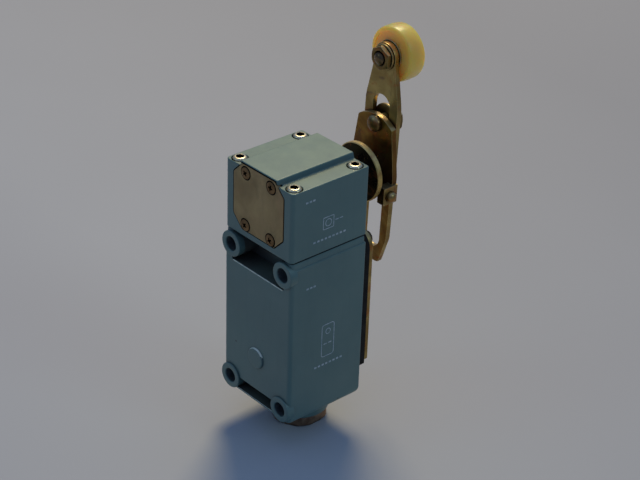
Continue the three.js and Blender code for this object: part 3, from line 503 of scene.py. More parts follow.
def moulding():
    n = Nodes("brown_moulding")
    tone = n.mix(n.range(n.noise(120, 4), 0.35, 0.7), (0.028, 0.018, 0.014), (0.05, 0.034, 0.026))
    n.bump(n.noise(900, 4), 0.2, 0.04)
    return n.set(tone, n.range(n.noise(150, 3), 0.3, 0.7, 0.4, 0.6), 0)


def white_print():
    n = Nodes("worn_white_print")
    tone = n.mix(n.range(n.noise(900, 4), 0.4, 0.62), (0.55, 0.6, 0.6), (0.33, 0.42, 0.43))
    n.bump(n.noise(1500, 2), 0.1, 0.02)
    return n.set(tone, 0.6, 0)


PAINT = paint("blue_green_paint")
PAINT_GRIMY_SHADED = paint("grimy_shaded_blue_green_paint", 0.95)
PAINT_LIP_HIGHLIGHT = lip_highlight_paint()
CHROMATE = chromate("yellow_zinc")
# the lever base's zinc is painted brown from 70 mm down to 48 mm height: painted shade
CHROMATE_BASE = chromate("yellow_zinc_shaded_below", (0.8, 0.62, 0.3), 0.13, 48, 70)
CHROMATE_DARK = chromate("stained_yellow_zinc", (0.55, 0.5, 0.45), 0.31)
# a brightened copy of the yellow zinc for the disc rim: painted highlight
CHROMATE_LIT = chromate("lit_yellow_zinc", (1.9, 1.75, 1.4), 0.57, metal=0.4)
CHROMATE_SHADED = chromate("shaded_yellow_zinc", (0.12, 0.12, 0.12), 0.8)
# near-black for screw sockets, cross recesses and the dishes round screws: painted shade
RECESS_SHADE = plated_steel("painted_recess_shade", (0.03, 0.022, 0.014), (0.012, 0.009, 0.006), 0.4, 0.6)
PLATE = stained_plate()
BRIGHT = plated_steel("bright_screw", (1.0, 0.9, 0.62), (0.85, 0.68, 0.38), 0.16, 0.32, 0.75)
STAINED = plated_steel("stained_screw", (0.3, 0.19, 0.09), (0.16, 0.09, 0.035), 0.45, 0.65)
STEEL = plated_steel("steel", (0.5, 0.49, 0.46), (0.34, 0.33, 0.31), 0.25, 0.45)
DARK_STEEL = plated_steel("dark_steel", (0.24, 0.16, 0.08), (0.1, 0.06, 0.03), 0.2, 0.38)
# bare casting for the fixing hole bores, darker than the paint: bare metal and painted shade
BARE_SHADED = plated_steel("bare_casting_shaded", (0.2, 0.22, 0.22), (0.09, 0.1, 0.1), 0.35, 0.55, 0.6)
BRASS = plated_steel("brass", (0.6, 0.42, 0.15), (0.42, 0.28, 0.09), 0.25, 0.45)
GLAND = plated_steel("brown_gland", (0.42, 0.27, 0.17), (0.2, 0.11, 0.07), 0.35, 0.55)
NYLON = nylon()
RUBBER = rubber()
MOULDING = moulding()
PRINT = white_print()


def retouch(obj, material, test):
    """Gives the faces that pass test(centre in mm, normal) a second finish."""
    obj.data.materials.append(material)
    last = len(obj.data.materials) - 1
    for face in obj.data.polygons:
        if test(face.center / MM, face.normal):
            face.material_index = last


def dress(obj, material, body, replaces=()):
    """Gives a piece its finish, its body and the CAD nodes it stands for."""
    obj.data.materials.clear()
    obj.data.materials.append(material)
    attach(obj, body)
    if replaces:
        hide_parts(*replaces)
    return obj


# ---------------------------------------------------------------- body
BODY_HALF = 19.6
BODY_LOW = -35.2
BODY_HIGH = 35.6
DEPTH = 37.0
FIX_X, FIX_Z = 15.0, 30.0
FIX = [(sx * FIX_X, sz * FIX_Z) for sx in (-1, 1) for sz in (-1, 1)]
REAR_CORNER, FRONT_CORNER = 1.7, 0.9
RAISED_Y = -0.8
BOSS_R = 5.3
HOLE_R = 2.8
UPPER_POCKET = (23.2, BODY_HIGH + 1)
LOWER_POCKET = (-34.0, -28.9)
POCKET_DEPTH = 9.5
FLARE = 0.3
PAD_R, PAD_Z = 4.3, -14.3
COLLAR_R = 12.2
ENTRY_R = 9.3
HEAD_SCREWS = [f"head_screw_{i}" for i in range(1, 5)]
COVER_SCREWS = [f"cover_screw_{i}" for i in range(1, 5)]
REAR_SCREWS = [f"rear_plate_screw_{i}" for i in range(1, 5)]
ENTRY = centre("gland_nut")


def body_ring(inset, front=0.0):
    half = BODY_HALF - inset
    rear_r = REAR_CORNER - inset * 0.5
    return round_rect(-half, half, inset, DEPTH - inset - front, rear_r, FRONT_CORNER, 6)


def casting():
    rings = []
    for step in range(6):
        a = math.pi / 2 * step / 5
        outline = body_ring(0.9 * (1 - math.sin(a)), 1.9 * (1 - math.sin(a)) ** 1.2)
        rings.append((outline, BODY_LOW + 2.2 * (1 - math.cos(a))))
    shoulder = ((0, 32.6), (0.1, 32.85), (0.36, 33.0), (0.44, 33.3), (0.48, 35.1), (0.75, BODY_HIGH))
    rings += [(body_ring(inset), z) for inset, z in shoulder]
    obj = loft("body_casting", "z", rings)
    cut(obj, pocket(*UPPER_POCKET), pocket(*LOWER_POCKET))
    boss = [(0, RAISED_Y), (4.9, RAISED_Y), (5.15, -0.72), (BOSS_R, -0.5), (BOSS_R, 2.6), (0, 2.6)]
    low = box("body_housing")[0].z
    collar = [
        (0, low), (11.7, low), (12.1, low + 0.15), (COLLAR_R, low + 0.6), (COLLAR_R, BODY_LOW - 1.6),
        (12.5, BODY_LOW - 0.6), (13.2, BODY_LOW), (13.2, BODY_LOW + 3), (0, BODY_LOW + 3),
    ]
    pad = [(0, RAISED_Y), (3.8, RAISED_Y), (4.1, -0.68), (PAD_R, -0.4), (4.4, 0), (4.4, 1), (0, 1)]
    join(
        obj,
        *[prism("pillar", "y", pillar(x, z), 2, 10) for x, z in FIX],
        *[turned("boss", "y", boss, x, z, 56) for x, z in FIX],
        turned("collar", "z", collar, 0, ENTRY.y, 64),
        turned("pad", "y", pad, 0, PAD_Z, 40),
    )
    hole = [
        (0, -2), (3.3, -2), (3.3, RAISED_Y), (3.15, -0.75), (HOLE_R, -0.3), (HOLE_R, 11), (0, 11.8),
    ]
    room = [
        (-7.6, -18.8), (7.6, -18.8), (14.6, -11.8), (14.6, 24.6),
        (7.6, 31.6), (-7.6, 31.6), (-14.6, 24.6), (-14.6, -11.8),
    ]
    cut(
        obj,
        prism("cavity", "y", rounded(room, 1), 13, 38),
        *[turned("hole", "y", hole, x, z, 40) for x, z in FIX],
        rod("entry", "z", ENTRY_R, low - 1, -18, cv=ENTRY.y, steps=48),
    )
    return shade(obj, 40)


def pocket(z0, z1):
    """The room of a pocket between two heights, flared where it meets the rear face."""
    rings = []
    for grow, y in ((FLARE, -2), (FLARE, 0), (0.09, 0.09), (0, FLARE), (0, POCKET_DEPTH)):
        half = FIX_X + grow
        corner = 0.5 + grow
        rings.append((round_rect(-half, half, z0 - grow, z1 + grow, corner, corner, 3), y))
    return loft("pocket", "y", rings)


def pillar(x, z):
    """A boss inside its pocket, flattened where it would come through the side of the body."""
    side = BODY_HALF - 0.3
    top = BODY_HIGH - 0.4
    return [(max(-side, min(side, u)), min(top, v)) for u, v in arc(x, z, BOSS_R, 0, 360, 56)[:-1]]


def in_hole(p, n):
    return p.y > 0.4 and min(math.hypot(p.x - x, p.z - z) for x, z in FIX) < HOLE_R + 0.06


def in_pocket(p, n):
    between = abs(p.x) < FIX_X + 0.1 and 1 < p.y < POCKET_DEPTH + 0.5
    return between and (23 < p.z < 35.3 or -34.1 < p.z < -28.7)


def on_lip(p, n):
    """The lower edges of both pockets at the rear face, and the top of the raised disc's rim."""
    away = min(abs(p.z - low + FLARE / 2) for low in (UPPER_POCKET[0], LOWER_POCKET[0]))
    lip = n.z > 0.2 and abs(p.x) < 9.6 and p.y < 0.45 and away < 0.32
    rim = n.z > 0.45 and p.y < 0 and PAD_R - 0.4 < math.hypot(p.x, p.z - PAD_Z) < PAD_R + 0.2
    return lip or rim


body = dress(casting(), PAINT, "housing", ["body_housing"])
# the pocket interiors get the darker paint: grime and painted shade
retouch(body, PAINT_GRIMY_SHADED, in_pocket)
# the hole bores: bare metal, dark as painted shade
retouch(body, BARE_SHADED, in_hole)
# the pocket lips and the raised disc's rim top get the painted highlight
retouch(body, PAINT_LIP_HIGHLIGHT, on_lip)


# ---------------------------------------------------------------- head
HEAD_LOW, HEAD_HIGH = box("head_housing")[0].z, box("head_housing")[1].z
HEAD_HALF = size("head_housing").x / 2
NOSE_FRONT = box("head_housing")[1].y
HEAD_DEPTH = 37.1
NOSE_R = 9
SINK_R, SINK_FLOOR = 3.1, 62
SOCKET_R = 1.7
LEDGE = HEAD_HIGH - 2.3
PLATE_LOW, PLATE_HIGH = box("rear_plate")


def octagon(grow):
    half = PLATE_HIGH.x + grow
    low, high = PLATE_LOW.z - grow, PLATE_HIGH.z + grow
    c = 5 + grow * 0.6
    return [
        (-half + c, low), (half - c, low), (half, low + c), (half, high - c),
        (half - c, high), (-half + c, high), (-half, high - c), (-half, low + c),
    ]


def head():
    footprint = round_rect(-HEAD_HALF, HEAD_HALF, 0, HEAD_DEPTH, REAR_CORNER, FRONT_CORNER, 6)
    obj = prism("head_casting", "z", footprint, HEAD_LOW - 1, HEAD_HIGH + 1)
    wide = HEAD_HALF + 1
    front = [
        (-wide, HEAD_LOW), (wide, HEAD_LOW), (wide, LEDGE), (10.9, LEDGE), (10.15, HEAD_HIGH),
        (-10.15, HEAD_HIGH), (-10.9, LEDGE), (-wide, LEDGE),
    ]
    overlap(obj, prism("front", "y", front, -1, HEAD_DEPTH + 1))
    soften(obj, 0.4, 3, 30)
    nose = [
        (0, HEAD_DEPTH - 2), (NOSE_R, HEAD_DEPTH - 2), (NOSE_R, NOSE_FRONT - 0.5),
        (NOSE_R - 0.5, NOSE_FRONT), (0, NOSE_FRONT),
    ]
    join(obj, turned("nose", "y", nose, 0, AXIS_Z, 56))
    screws = [centre(s) for s in HEAD_SCREWS]
    sink = [
        (0, SINK_FLOOR), (SINK_R, SINK_FLOOR), (SINK_R, LEDGE - 0.25), (3.4, LEDGE + 0.05),
        (3.4, HEAD_HIGH + 1), (0, HEAD_HIGH + 1),
    ]
    room = [
        (-14.4, 37.3), (14.4, 37.3), (14.4, 60.6), (9.4, 60.6),
        (9.4, 63.6), (-9.4, 63.6), (-9.4, 60.6), (-14.4, 60.6),
    ]
    cut(
        obj,
        prism("room", "y", room, 6.5, 30.3),
        prism("recess", "y", rounded(octagon(0.42), 0.8, 3), -1, 2.0),
        rod("opening", "y", 8.8, 1, 7, cv=52),
        rod("bore", "y", 6.9, 30, NOSE_FRONT + 1, cv=AXIS_Z, steps=48),
        *[turned("sink", "z", sink, s.x, s.y, 40) for s in screws],
    )
    return shade(soften(obj, 0.12, 2, 40), 40)


dress(head(), PAINT, "housing", ["head_housing"])


def cap_screw(node):
    low, high = box(node)
    c = (low + high) / 2
    r = (high.x - low.x) / 2
    top = high.z
    seat = SINK_FLOOR + 0.1
    profile = [
        (0, 40), (1.8, 40), (1.8, seat), (r, seat), (r, top - 0.95), (r - 0.1, top - 0.6),
        (r - 0.35, top - 0.25), (r - 0.65, top - 0.06), (r - 0.85, top), (0, top),
    ]
    obj = turned("cap_" + node, "z", profile, c.x, c.y, 48)
    hexagon = polygon(6, SOCKET_R, c.x, c.y, FULL * 0.3 / 6)
    cut(obj, prism("socket", "z", hexagon, top - 1.9, top + 1))
    return shade(obj, 35)


def in_socket(node):
    c, top = centre(node), box(node)[1].z
    return lambda p, n: math.hypot(p.x - c.x, p.y - c.y) < SOCKET_R - 0.08 and top - 2.1 < p.z < top - 0.3


for name in HEAD_SCREWS:
    screw = dress(cap_screw(name), BRIGHT, "housing", [name])
    # the socket gets the near-black painted shade
    retouch(screw, RECESS_SHADE, in_socket(name))


# ---------------------------------------------------------------- rear plate and its screws
DISH_R = 2.8
REAR_CENTRES = [centre(s) for s in REAR_SCREWS]


def rear_plate():
    obj = prism("inspection_plate", "y", rounded(octagon(0), 0.7, 4), PLATE_LOW.y, PLATE_HIGH.y)
    dish = [(0, -1), (3.2, -1), (DISH_R, PLATE_LOW.y), (1.6, 1.0), (0, 1.0)]
    cut(obj, *[turned("dish", "y", dish, c.x, c.z, 40) for c in REAR_CENTRES])
    return shade(soften(obj, 0.15, 2, 35), 35)


def in_dish(p, n):
    away = min(math.hypot(p.x - c.x, p.z - c.z) for c in REAR_CENTRES)
    return away < DISH_R - 0.01 and p.y > PLATE_LOW.y + 0.02


def cross_top(node):
    """The rear end of a rear plate screw's head, a little lower than the CAD's."""
    return box(node)[0].y + 0.25


def cross_screw(node, turn):
    """A low countersunk head with a short cross recess, facing the rear."""
    c = centre(node)
    r = 2.35
    top = cross_top(node)
    profile = [
        (0, 6), (1.3, 6), (1.3, 0.95), (1.4, 0.7), (r, -0.2), (r - 0.06, -0.32),
        (r - 0.5, top + 0.14), (r - 1.2, top + 0.03), (0, top),
    ]
    obj = turned("cross_" + node, "y", profile, c.x, c.z, 44)
    blades = []
    points = rectangle(1.15, 0.36)
    for quarter in (0, 90):
        at = Matrix.Translation((c.x, 0, c.z)) @ Matrix.Rotation(math.radians(turn + quarter), 4, "Y")
        blades.append(prism("blade", "y", points, -3, 0.35, at))
    return shade(cut(obj, *blades), 35)


def in_cross(node):
    c, top = centre(node), cross_top(node)
    return lambda p, n: math.hypot(p.x - c.x, p.z - c.z) < 1.3 and top + 0.08 < p.y < 0.6


# the dishes round the screws and the cross recesses get the near-black painted shade
retouch(dress(rear_plate(), PLATE, "housing", ["rear_plate"]), RECESS_SHADE, in_dish)
for name, turn in zip(REAR_SCREWS, (28, -40, 62, 8)):
    screw = dress(cross_screw(name, turn), STAINED, "housing", [name])
    retouch(screw, RECESS_SHADE, in_cross(name))


# ---------------------------------------------------------------- cover
def cover_outline(low, high, r):
    half = high.x
    foot_r = 0.9
    return (
        arc(half - foot_r, low.z + foot_r, foot_r, -90, 0, 3)
        + arc(half - r, high.z - r, r, 0, 90, 12)
        + arc(-half + r, high.z - r, r, 90, 180, 12)
        + arc(-half + foot_r, low.z + foot_r, foot_r, 180, 270, 3)
    )


def cover(node, name, r):
    low, high = box(node)
    return prism(name, "y", cover_outline(low, high, r), low.y, high.y)


def pan_screw(node, turn):
    """A cheese head with a slot, facing the front."""
    low, high = box(node)
    c = (low + high) / 2
    r = (high.x - low.x) / 2
    top = high.y
    seat = box("body_cover")[1].y + 0.05
    profile = [
        (0, seat - 4), (1.4, seat - 4), (1.4, seat), (r, seat), (r, top - 0.5),
        (r - 0.15, top - 0.2), (r - 0.5, top), (0, top),
    ]
    obj = turned("pan_" + node, "y", profile, c.x, c.z, 40)
    at = Matrix.Translation((c.x, 0, c.z)) @ Matrix.Rotation(math.radians(turn), 4, "Y")
    blade = prism("blade", "y", rectangle(4, 0.4), top - 0.8, top + 1, at)
    return shade(cut(obj, blade), 35)


sheet = soften(cover("body_cover", "cover_sheet", 6.5), 0.35, 3)
dress(shade(sheet, 35), CHROMATE, "housing", ["body_cover"])
seal = soften(cover("cover_gasket", "cover_seal", 6.9), 0.2, 2)
dress(shade(seal, 35), RUBBER, "housing", ["cover_gasket"])
for name, turn in zip(COVER_SCREWS, (15, 70, -35, 40)):
    dress(pan_screw(name, turn), DARK_STEEL, "housing", [name])


# ---------------------------------------------------------------- cable gland
GLAND_ACROSS = 21.0


def gland():
    low, high = box("gland_nut")
    top = box("body_housing")[0].z - 0.1
    corner = GLAND_ACROSS / 2 / math.cos(FULL / 12)
    obj = prism("gland_body", "z", polygon(6, corner, 0, ENTRY.y, FULL / 12), low.z, top)
    r = 11.6
    limit = [(0, low.z), (r - 1, low.z), (r, low.z + 0.8), (r, top - 0.6), (r - 0.6, top), (0, top)]
    overlap(obj, turned("limit", "z", limit, 0, ENTRY.y, 64))
    join(obj, rod("thread", "z", 9.15, top - 1, high.z, cv=ENTRY.y, steps=48))
    mouth = [
        (0, low.z - 1), (7.6, low.z - 1), (7.2, low.z), (6.8, low.z + 1), (5.4, low.z + 1.4),
        (5.4, high.z + 1), (0, high.z + 1),
    ]
    cut(obj, turned("mouth", "z", mouth, 0, ENTRY.y, 48))
    return shade(soften(obj, 0.2, 2, 35), 35)


dress(gland(), GLAND, "housing", ["gland_nut"])


# ---------------------------------------------------------------- plain printed marks
def mark(name, outlines, face):
    """Flat shapes printed on the +X side, each a pair of (y, z) outlines: outer, and inner or None."""
    bm = bmesh.new()
    for outer, inner in outlines:
        for x in (face - 0.1, face + 0.03):
            rim = [bm.verts.new((x, y, z)) for y, z in outer]
            n = len(rim)
            if inner:
                hole = [bm.verts.new((x, y, z)) for y, z in inner]
                for i in range(n):
                    bm.faces.new((rim[i], rim[(i + 1) % n], hole[(i + 1) % n], hole[i]))
            else:
                bm.faces.new(rim)
            loops = [rim] + ([hole] if inner else [])
            if x < face:
                below = loops
                continue
            for low, high in zip(below, loops):
                for i in range(n):
                    bm.faces.new((low[i], low[(i + 1) % n], high[(i + 1) % n], high[i]))
    return shade(new_object(name, bm), 35)


def dashes(y0, z, count, width, height, gap):
    out = []
    for i in range(count):
        y = y0 + i * (width + gap)
        out.append(([(y, z), (y + width, z), (y + width, z + height), (y, z + height)], None))
    return out


def ring_of(y, z, r, line):
    return arc(y, z, r, 0, 360, 27)[:-1], arc(y, z, r - line, 0, 360, 27)[:-1]


def frame_of(y0, y1, z0, z1, r, line):
    outer = round_rect(y0, y1, z0, z1, r, r, 4)
    inner = round_rect(y0 + line, y1 - line, z0 + line, z1 - line, r - line, r - line, 4)
    return outer, inner


head_marks = [frame_of(15.0, 20.4, 45.4, 50.6, 0.5, 0.3), ring_of(17.7, 48, 1.6, 0.3)]
head_marks += dashes(21.0, 47.8, 2, 1.6, 0.4, 0.6) + dashes(10.5, 41.2, 9, 1.1, 0.75, 0.75)
head_marks += dashes(6.4, 59.2, 3, 1.1, 0.75, 0.6)
body_marks = [frame_of(15.8, 22.2, -10.8, 3.8, 1.2, 0.3), ring_of(19, 0.4, 1.3, 0.3)]
body_marks += dashes(17.0, -5.2, 2, 1.6, 0.4, 0.7) + dashes(12.6, -14.6, 8, 1.1, 0.75, 0.75)
body_marks += dashes(7.4, 22.7, 3, 1.1, 0.75, 0.6)
dress(mark("head_side_mark", head_marks, HEAD_HALF), PRINT, "housing")
dress(mark("body_side_mark", body_marks, BODY_HALF), PRINT, "housing")


# ---------------------------------------------------------------- lever
BASE = "lever_base"
base_low, base_high = box(BASE)
EAR_INNER, EAR_X = 9.1, 12.7
BASE_REAR, BASE_FRONT = 56.5, base_high.y
EAR_LOW, EAR_HIGH = -10.4, -2.8
BORE_R = 4.6
PINCH_Z = (centre("pinch_screw").z - AXIS_Z) / math.cos(TILT)
PINCH_Y = centre("pinch_screw").y


def lever_plate():
    half = 11.9
    corner_x, corner_z, crown_r = 9.3, 19.3, 14.5
    crown_z = corner_z - math.sqrt(crown_r ** 2 - corner_x ** 2)
    spread = math.degrees(math.asin(corner_x / crown_r))
    outline = [(-half, EAR_LOW), (half, EAR_LOW), (half, 0)]
    outline += arc(0, crown_z, crown_r, 90 - spread, 90 + spread, 18) + [(-half, 0)]
    obj = prism("lever_plate", "y", outline, BASE_REAR, BASE_FRONT, LEVER)
    for side in (-1, 1):
        x0, x1 = sorted((side * EAR_INNER, side * EAR_X))
        ear = arc(base_low.y + 0.7, EAR_HIGH - 0.7, 0.7, 90, 180, 5)
        ear += arc(base_low.y + 0.7, EAR_LOW + 0.7, 0.7, 180, 270, 5)
        ear += [(BASE_FRONT, EAR_LOW), (BASE_FRONT, EAR_HIGH)]
        join(obj, prism("ear", "x", ear, x0, x1, LEVER))
    c = centre("clamp_bolt")
    back, front = 55, 60
    slit = [(-0.9, EAR_LOW - 1), (0.9, EAR_LOW - 1), (0.9, 0), (-0.9, 0)]
    cut(
        obj,
        rod("bore", "y", BORE_R, back, front, matrix=LEVER),
        rod("clamp", "y", 3.1, back, front, c.x, c.z, 32),
        prism("slit", "y", slit, back, front, LEVER),
        rod("pinch", "x", 2.2, -14, 14, PINCH_Y, PINCH_Z, 32, LEVER),
    )
    return shade(soften(obj, 0.22, 2, 35), 35)


def disc():
    low, high = box("lever_disc")
    r = (high.x - low.x) / 2
    profile = [
        (BORE_R, low.y), (r - 2.4, low.y), (r - 1.9, low.y), (r - 0.35, low.y + 0.02),
        (r, low.y + 0.35), (r, high.y - 0.35), (r - 0.35, high.y), (BORE_R, high.y),
    ]
    return shade(turned("shaft_disc", "y", profile, 0, AXIS_Z, 72, closed=True), 30)


def dome(name, axis, r, shank_r, crown, rim, seat, tip, cu, cv, matrix=None):
    """A bolt with a domed head; crown, rim, seat and tip are places along its axis."""
    profile = [(0, crown)]
    for i in range(1, 9):
        a = math.pi / 2 * i / 8
        profile.append((r * math.sin(a), crown + (rim - crown) * (1 - math.cos(a))))
    profile += [(r, seat), (shank_r, seat), (shank_r, tip - (tip - seat) * 0.03), (0, tip)]
    return shade(turned(name, axis, profile, cu, cv, 40, matrix), 35)


def pinch_screw():
    """Its domed head is on the +X ear; the shank passes through both."""
    crown, rim, seat, tip = EAR_X + 2.3, EAR_X + 0.7, EAR_X + 0.08, -EAR_X - 3.5
    return dome("pinch_bolt", "x", 2.15, 1.9, crown, rim, seat, tip, PINCH_Y, PINCH_Z, LEVER)


def clamp_bolt():
    low, high = box("clamp_bolt")
    c = (low + high) / 2
    r = (high.x - low.x) / 2 - 0.4
    rim, seat = BASE_REAR - 0.8, BASE_REAR - 0.08
    return dome("clamp_dome_bolt", "y", r, 2.9, low.y, rim, seat, high.y, c.x, c.z)


def square_nut():
    square = [(PINCH_Y + u, PINCH_Z + v) for u, v in rectangle(2.9, 2.9)]
    points = rounded(square, 0.4, 2)
    obj = prism("pinch_square_nut", "x", points, -EAR_X - 2.5, -EAR_X - 0.1, LEVER)
    cut(obj, rod("bore", "x", 2.05, -20, -10, PINCH_Y, PINCH_Z, 28, LEVER))
    return shade(soften(obj, 0.2), 35)


def hex_nut(name, node, bore_r, across):
    low, high = box(node)
    c = (low + high) / 2
    corner = across / 2 / math.cos(FULL / 12)
    obj = prism(name, "y", polygon(6, corner, c.x, c.z, FULL / 12 - TILT), low.y, high.y)
    flat = across / 2 - 0.1
    limit = [
        (0, low.y), (flat, low.y), (corner + 0.05, low.y + 0.55), (corner + 0.05, high.y - 0.55),
        (flat, high.y), (0, high.y),
    ]
    overlap(obj, turned("limit", "y", limit, c.x, c.z, 64))
    bore = [
        (0, low.y - 1), (bore_r + 0.5, low.y - 1), (bore_r + 0.4, low.y), (bore_r, low.y + 0.4),
        (bore_r, high.y - 0.4), (bore_r + 0.4, high.y), (bore_r + 0.5, high.y + 1), (0, high.y + 1),
    ]
    cut(obj, turned("bore", "y", bore, c.x, c.z, 36))
    return shade(soften(obj, 0.1, 2, 40), 35)


def washer(name, node, inner, less=0.0):
    """A ring in the node's place with rounded edges, its radius smaller by less."""
    low, high = box(node)
    c = (low + high) / 2
    r = (high.x - low.x) / 2 - less
    e = min(0.25, (high.y - low.y) * 0.3)
    profile = [
        (inner, low.y + e * 0.5), (inner + e, low.y), (r - e, low.y), (r, low.y + e),
        (r, high.y - e), (r - e, high.y), (inner + e, high.y), (inner, high.y - e * 0.5),
    ]
    return shade(turned(name, "y", profile, c.x, c.z, 56, closed=True), 35)


plate = dress(lever_plate(), CHROMATE_BASE, "lever", [BASE])
retouch(plate, CHROMATE_SHADED, lambda p, n: n.y < -0.9 and p.y < base_low.y + 0.1)
retouch(plate, CHROMATE, lambda p, n: abs(n.x) > 0.9 and abs(p.x) > 12.2 and p.z < AXIS_Z)
rim = dress(disc(), CHROMATE_LIT, "shaft_and_cams", ["lever_disc"])
retouch(rim, CHROMATE_SHADED, lambda p, n: abs(n.y) > 0.9)
dress(pinch_screw(), CHROMATE, "lever", ["pinch_screw"])
dress(square_nut(), CHROMATE, "lever", ["pinch_nut"])
dress(clamp_bolt(), CHROMATE_DARK, "lever", ["clamp_bolt"])
ring = washer("clamp_ring", "clamp_washer", 3.0)
dress(ring, CHROMATE, "lever", ["clamp_washer"])
nut = hex_nut("clamp_hex_nut", "clamp_nut", 3.05, 10)
dress(nut, CHROMATE_DARK, "lever", ["clamp_nut"])


# ---------------------------------------------------------------- slotted arm and roller
ARM_LOW, ARM_HIGH = box("lever_arm")
AXLE_C = centre("roller")
AXLE_UP = (AXLE_C.z - AXIS_Z) / math.cos(TILT)


def arm():
    tip = [(-3.2, -42.4), (3.2, -42.4)]
    side = [(4.7, -42.0), (5.2, -40.6), (8.3, -30), (8.8, 0), (8.8, 26.5), (8.4, 29.2), (6.0, 41.2)]
    outline = tip + side + arc(0, AXLE_UP, 5.5, -12, 192, 28) + [(-x, z) for x, z in reversed(side)]
    obj = prism("slotted_lever_arm", "y", outline, ARM_LOW.y, ARM_HIGH.y, LEVER)
    slot_low, slot_high, slot_r = -31.7, 25.7, 4.5
    slot = arc(0, slot_low, slot_r, 180, 360, 20) + arc(0, slot_high, slot_r, 0, 180, 20)
    cut(
        obj,
        prism("slot", "y", slot, ARM_LOW.y - 1, ARM_HIGH.y + 1, LEVER),
        rod("hole", "y", 2.6, ARM_LOW.y - 1, ARM_HIGH.y + 1, 0, AXLE_UP, 32, LEVER),
    )
    return shade(soften(obj, 0.2, 2, 35), 35)


def axle():
    low, high = box("roller_axle")
    seat = ARM_HIGH.y + 0.1
    r = (high.x - low.x) / 2
    top = high.y
    profile = [
        (0, low.y), (1.2, low.y + 0.12), (2.0, low.y + 0.5), (2.45, low.y + 1.1), (2.5, low.y + 1.5),
        (2.5, seat), (4, seat), (4, top - 2.2), (r, top - 2.2), (r, top - 0.8),
        (r - 0.25, top - 0.35), (r - 0.8, top - 0.05), (0, top),
    ]
    obj = turned("roller_pin", "y", profile, AXLE_C.x, AXLE_C.z, 48)
    at = Matrix.Translation((AXLE_C.x, 0, AXLE_C.z)) @ Matrix.Rotation(0.4, 4, "Y")
    blade = prism("blade", "y", rectangle(7, 0.5), top - 1.1, top + 1, at)
    return shade(cut(obj, blade), 35)


def roller():
    low, high = box("roller")
    r = (high.x - low.x) / 2
    rear, front = low.y, high.y
    half = [
        (4.35, rear + 0.25), (4.6, rear), (6.7, rear), (7.0, rear + 0.25), (r - 2.1, rear + 0.3),
        (r - 1.8, rear + 0.02), (r - 1.1, rear), (r - 0.75, rear + 0.06), (r - 0.4, rear + 0.28),
        (r - 0.2, rear + 0.7), (r - 0.1, rear + 1.6), (r, rear + 3),
    ]
    far = [(x, rear + front - y) for x, y in reversed(half)]
    obj = turned("roller_wheel_nylon", "y", half + far, AXLE_C.x, AXLE_C.z, 96, closed=True)
    return shade(obj, 40)


dress(arm(), CHROMATE, "slotted_arm", ["lever_arm"])
dress(axle(), DARK_STEEL, "slotted_arm", ["roller_axle"])
ring = washer("axle_ring", "axle_washer", 2.6, 0.9)
dress(ring, CHROMATE, "slotted_arm", ["axle_washer"])
nut = hex_nut("axle_hex_nut", "axle_nut", 2.65, 8.6)
dress(nut, CHROMATE_DARK, "slotted_arm", ["axle_nut"])
ring = washer("roller_distance_ring", "roller_spacer", 4.1)
dress(ring, CHROMATE, "slotted_arm", ["roller_spacer"])
dress(roller(), NYLON, "roller_wheel", ["roller"])


# ---------------------------------------------------------------- return springs
def coil_spring(side):
    low, high = box("return_spring_" + side)
    c = (low + high) / 2
    wire = 0.28
    r = (high.x - low.x) / 2 - 0.3
    coils, steps, around = 5, 130, 8
    bm = bmesh.new()
    loops = []
    for i in range(steps + 1):
        a = FULL * coils * i / steps
        z = low.z + wire + (high.z - low.z - 2 * wire) * i / steps
        loop = []
        for k in range(around):
            b = FULL * k / around
            reach = r + wire * math.cos(b)
            place = (c.x + reach * math.cos(a), c.y + reach * math.sin(a), z + wire * math.sin(b))
            loop.append(bm.verts.new(place))
        loops.append(loop)
    skin(bm, loops)
    obj = shade(new_object("coil_spring_" + side, bm), 60)
    obj.data.materials.append(STEEL)
    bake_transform(obj)
    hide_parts("return_spring_" + side)


for name in ("left", "right"):
    coil_spring(name)


# ---------------------------------------------------------------- parts kept from the CAD
KEPT = {
    "paint": PAINT, "chromate": CHROMATE, "rear_plate": PLATE, "bright_screws": BRIGHT,
    "stained_screws": STAINED, "steel": STEEL, "brass": BRASS, "nylon": NYLON, "rubber": RUBBER,
    "moulding": MOULDING, "gland": GLAND,
}
for part in frame["record"]["subparts"]:
    node = frame["nodes"][part["node"]]
    if not node.hide_render:
        node.data.materials.clear()
        node.data.materials.append(KEPT[part["material_slot"]])


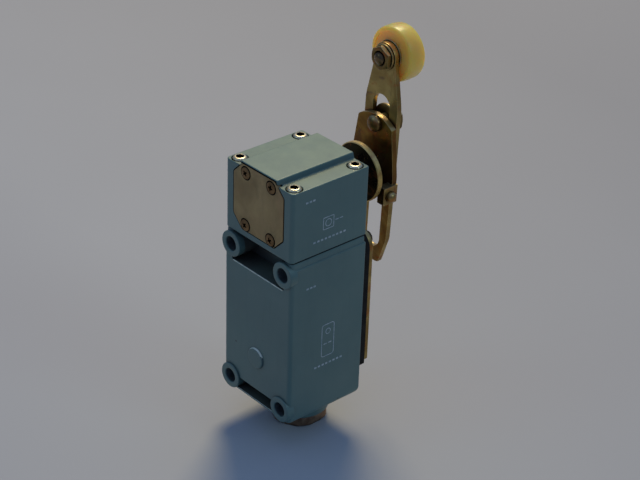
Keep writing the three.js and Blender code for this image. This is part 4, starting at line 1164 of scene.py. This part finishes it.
# ---------------------------------------------------------------- floor, light and camera
def floor():
    n = Nodes("pale_table")
    tone = n.mix(n.range(n.noise(4, 3), 0.3, 0.7), (0.47, 0.47, 0.47), (0.5, 0.5, 0.5))
    split = n.add("ShaderNodeSeparateXYZ")
    n.link(n.position, split.inputs[0])
    # the table is painted darker towards +Y: painted shade
    tone = n.mix(n.range(split.outputs["Y"], 0.04, 0.35, 0, 0.8), tone, (0.36, 0.355, 0.36))
    material = n.set(tone, 0.62, 0)
    bm = bmesh.new()
    z = cad_low.z / MM - 0.02
    for x, y in ((-6000, -6000), (6000, -6000), (6000, 6000), (-6000, 6000)):
        bm.verts.new((x, y, z))
    bm.faces.new(bm.verts)
    obj = new_object("table_top", bm)
    obj.data.materials.append(material)


def area_light(name, place, target, width, power, color):
    light = bpy.data.lights.new(name, "AREA")
    light.shape = "DISK"
    light.size = width
    light.energy = power
    light.color = color
    obj = bpy.data.objects.new(name, light)
    obj.location = place
    obj.rotation_euler = (Vector(target) - Vector(place)).to_track_quat("-Z", "Y").to_euler()
    bpy.context.scene.collection.objects.link(obj)


def surroundings():
    world = bpy.data.worlds.new("room")
    world.use_nodes = True
    tree = world.node_tree
    background = tree.nodes["Background"]
    coords = tree.nodes.new("ShaderNodeTexCoord")
    toward = tree.nodes.new("ShaderNodeVectorMath")
    toward.operation = "DOT_PRODUCT"
    toward.inputs[1].default_value = (0, 0, 1)
    tree.links.new(coords.outputs["Generated"], toward.inputs[0])
    ramp = tree.nodes.new("ShaderNodeValToRGB")
    ramp.color_ramp.elements[0].position = 0.0
    ramp.color_ramp.elements[0].color = (0.07, 0.11, 0.2, 1)
    ramp.color_ramp.elements[1].position = 0.9
    ramp.color_ramp.elements[1].color = (0.16, 0.24, 0.45, 1)
    tree.links.new(toward.outputs["Value"], ramp.inputs[0])
    tree.links.new(ramp.outputs[0], background.inputs[0])
    background.inputs[1].default_value = 1.0
    bpy.context.scene.world = world


def camera():
    data = bpy.data.cameras.new("photo_view")
    data.sensor_width = 36
    data.lens = 97.95
    data.clip_end = 100
    obj = bpy.data.objects.new("photo_view", data)
    obj.location = (0.42794, -0.35767, 0.36109)
    obj.rotation_euler = [math.radians(a) for a in (59.962, -1.712, 48.737)]
    bpy.context.scene.collection.objects.link(obj)
    bpy.context.scene.camera = obj


floor()
surroundings()
area_light("window", (-0.72, 0.76, 1.3), (0, 0, 0), 0.6, 13.6, (1.0, 0.84, 0.52))
area_light("left_fill", (-0.6, -1.1, 0.9), (0, 0, 0), 0.6, 0.6, (0.6, 0.95, 1.0))
area_light("right_fill", (1.3, 0.5, 0.9), (0, 0, 0), 0.6, 1.6, (0.65, 0.95, 1.0))
camera()
bpy.context.scene.view_settings.view_transform = "Standard"
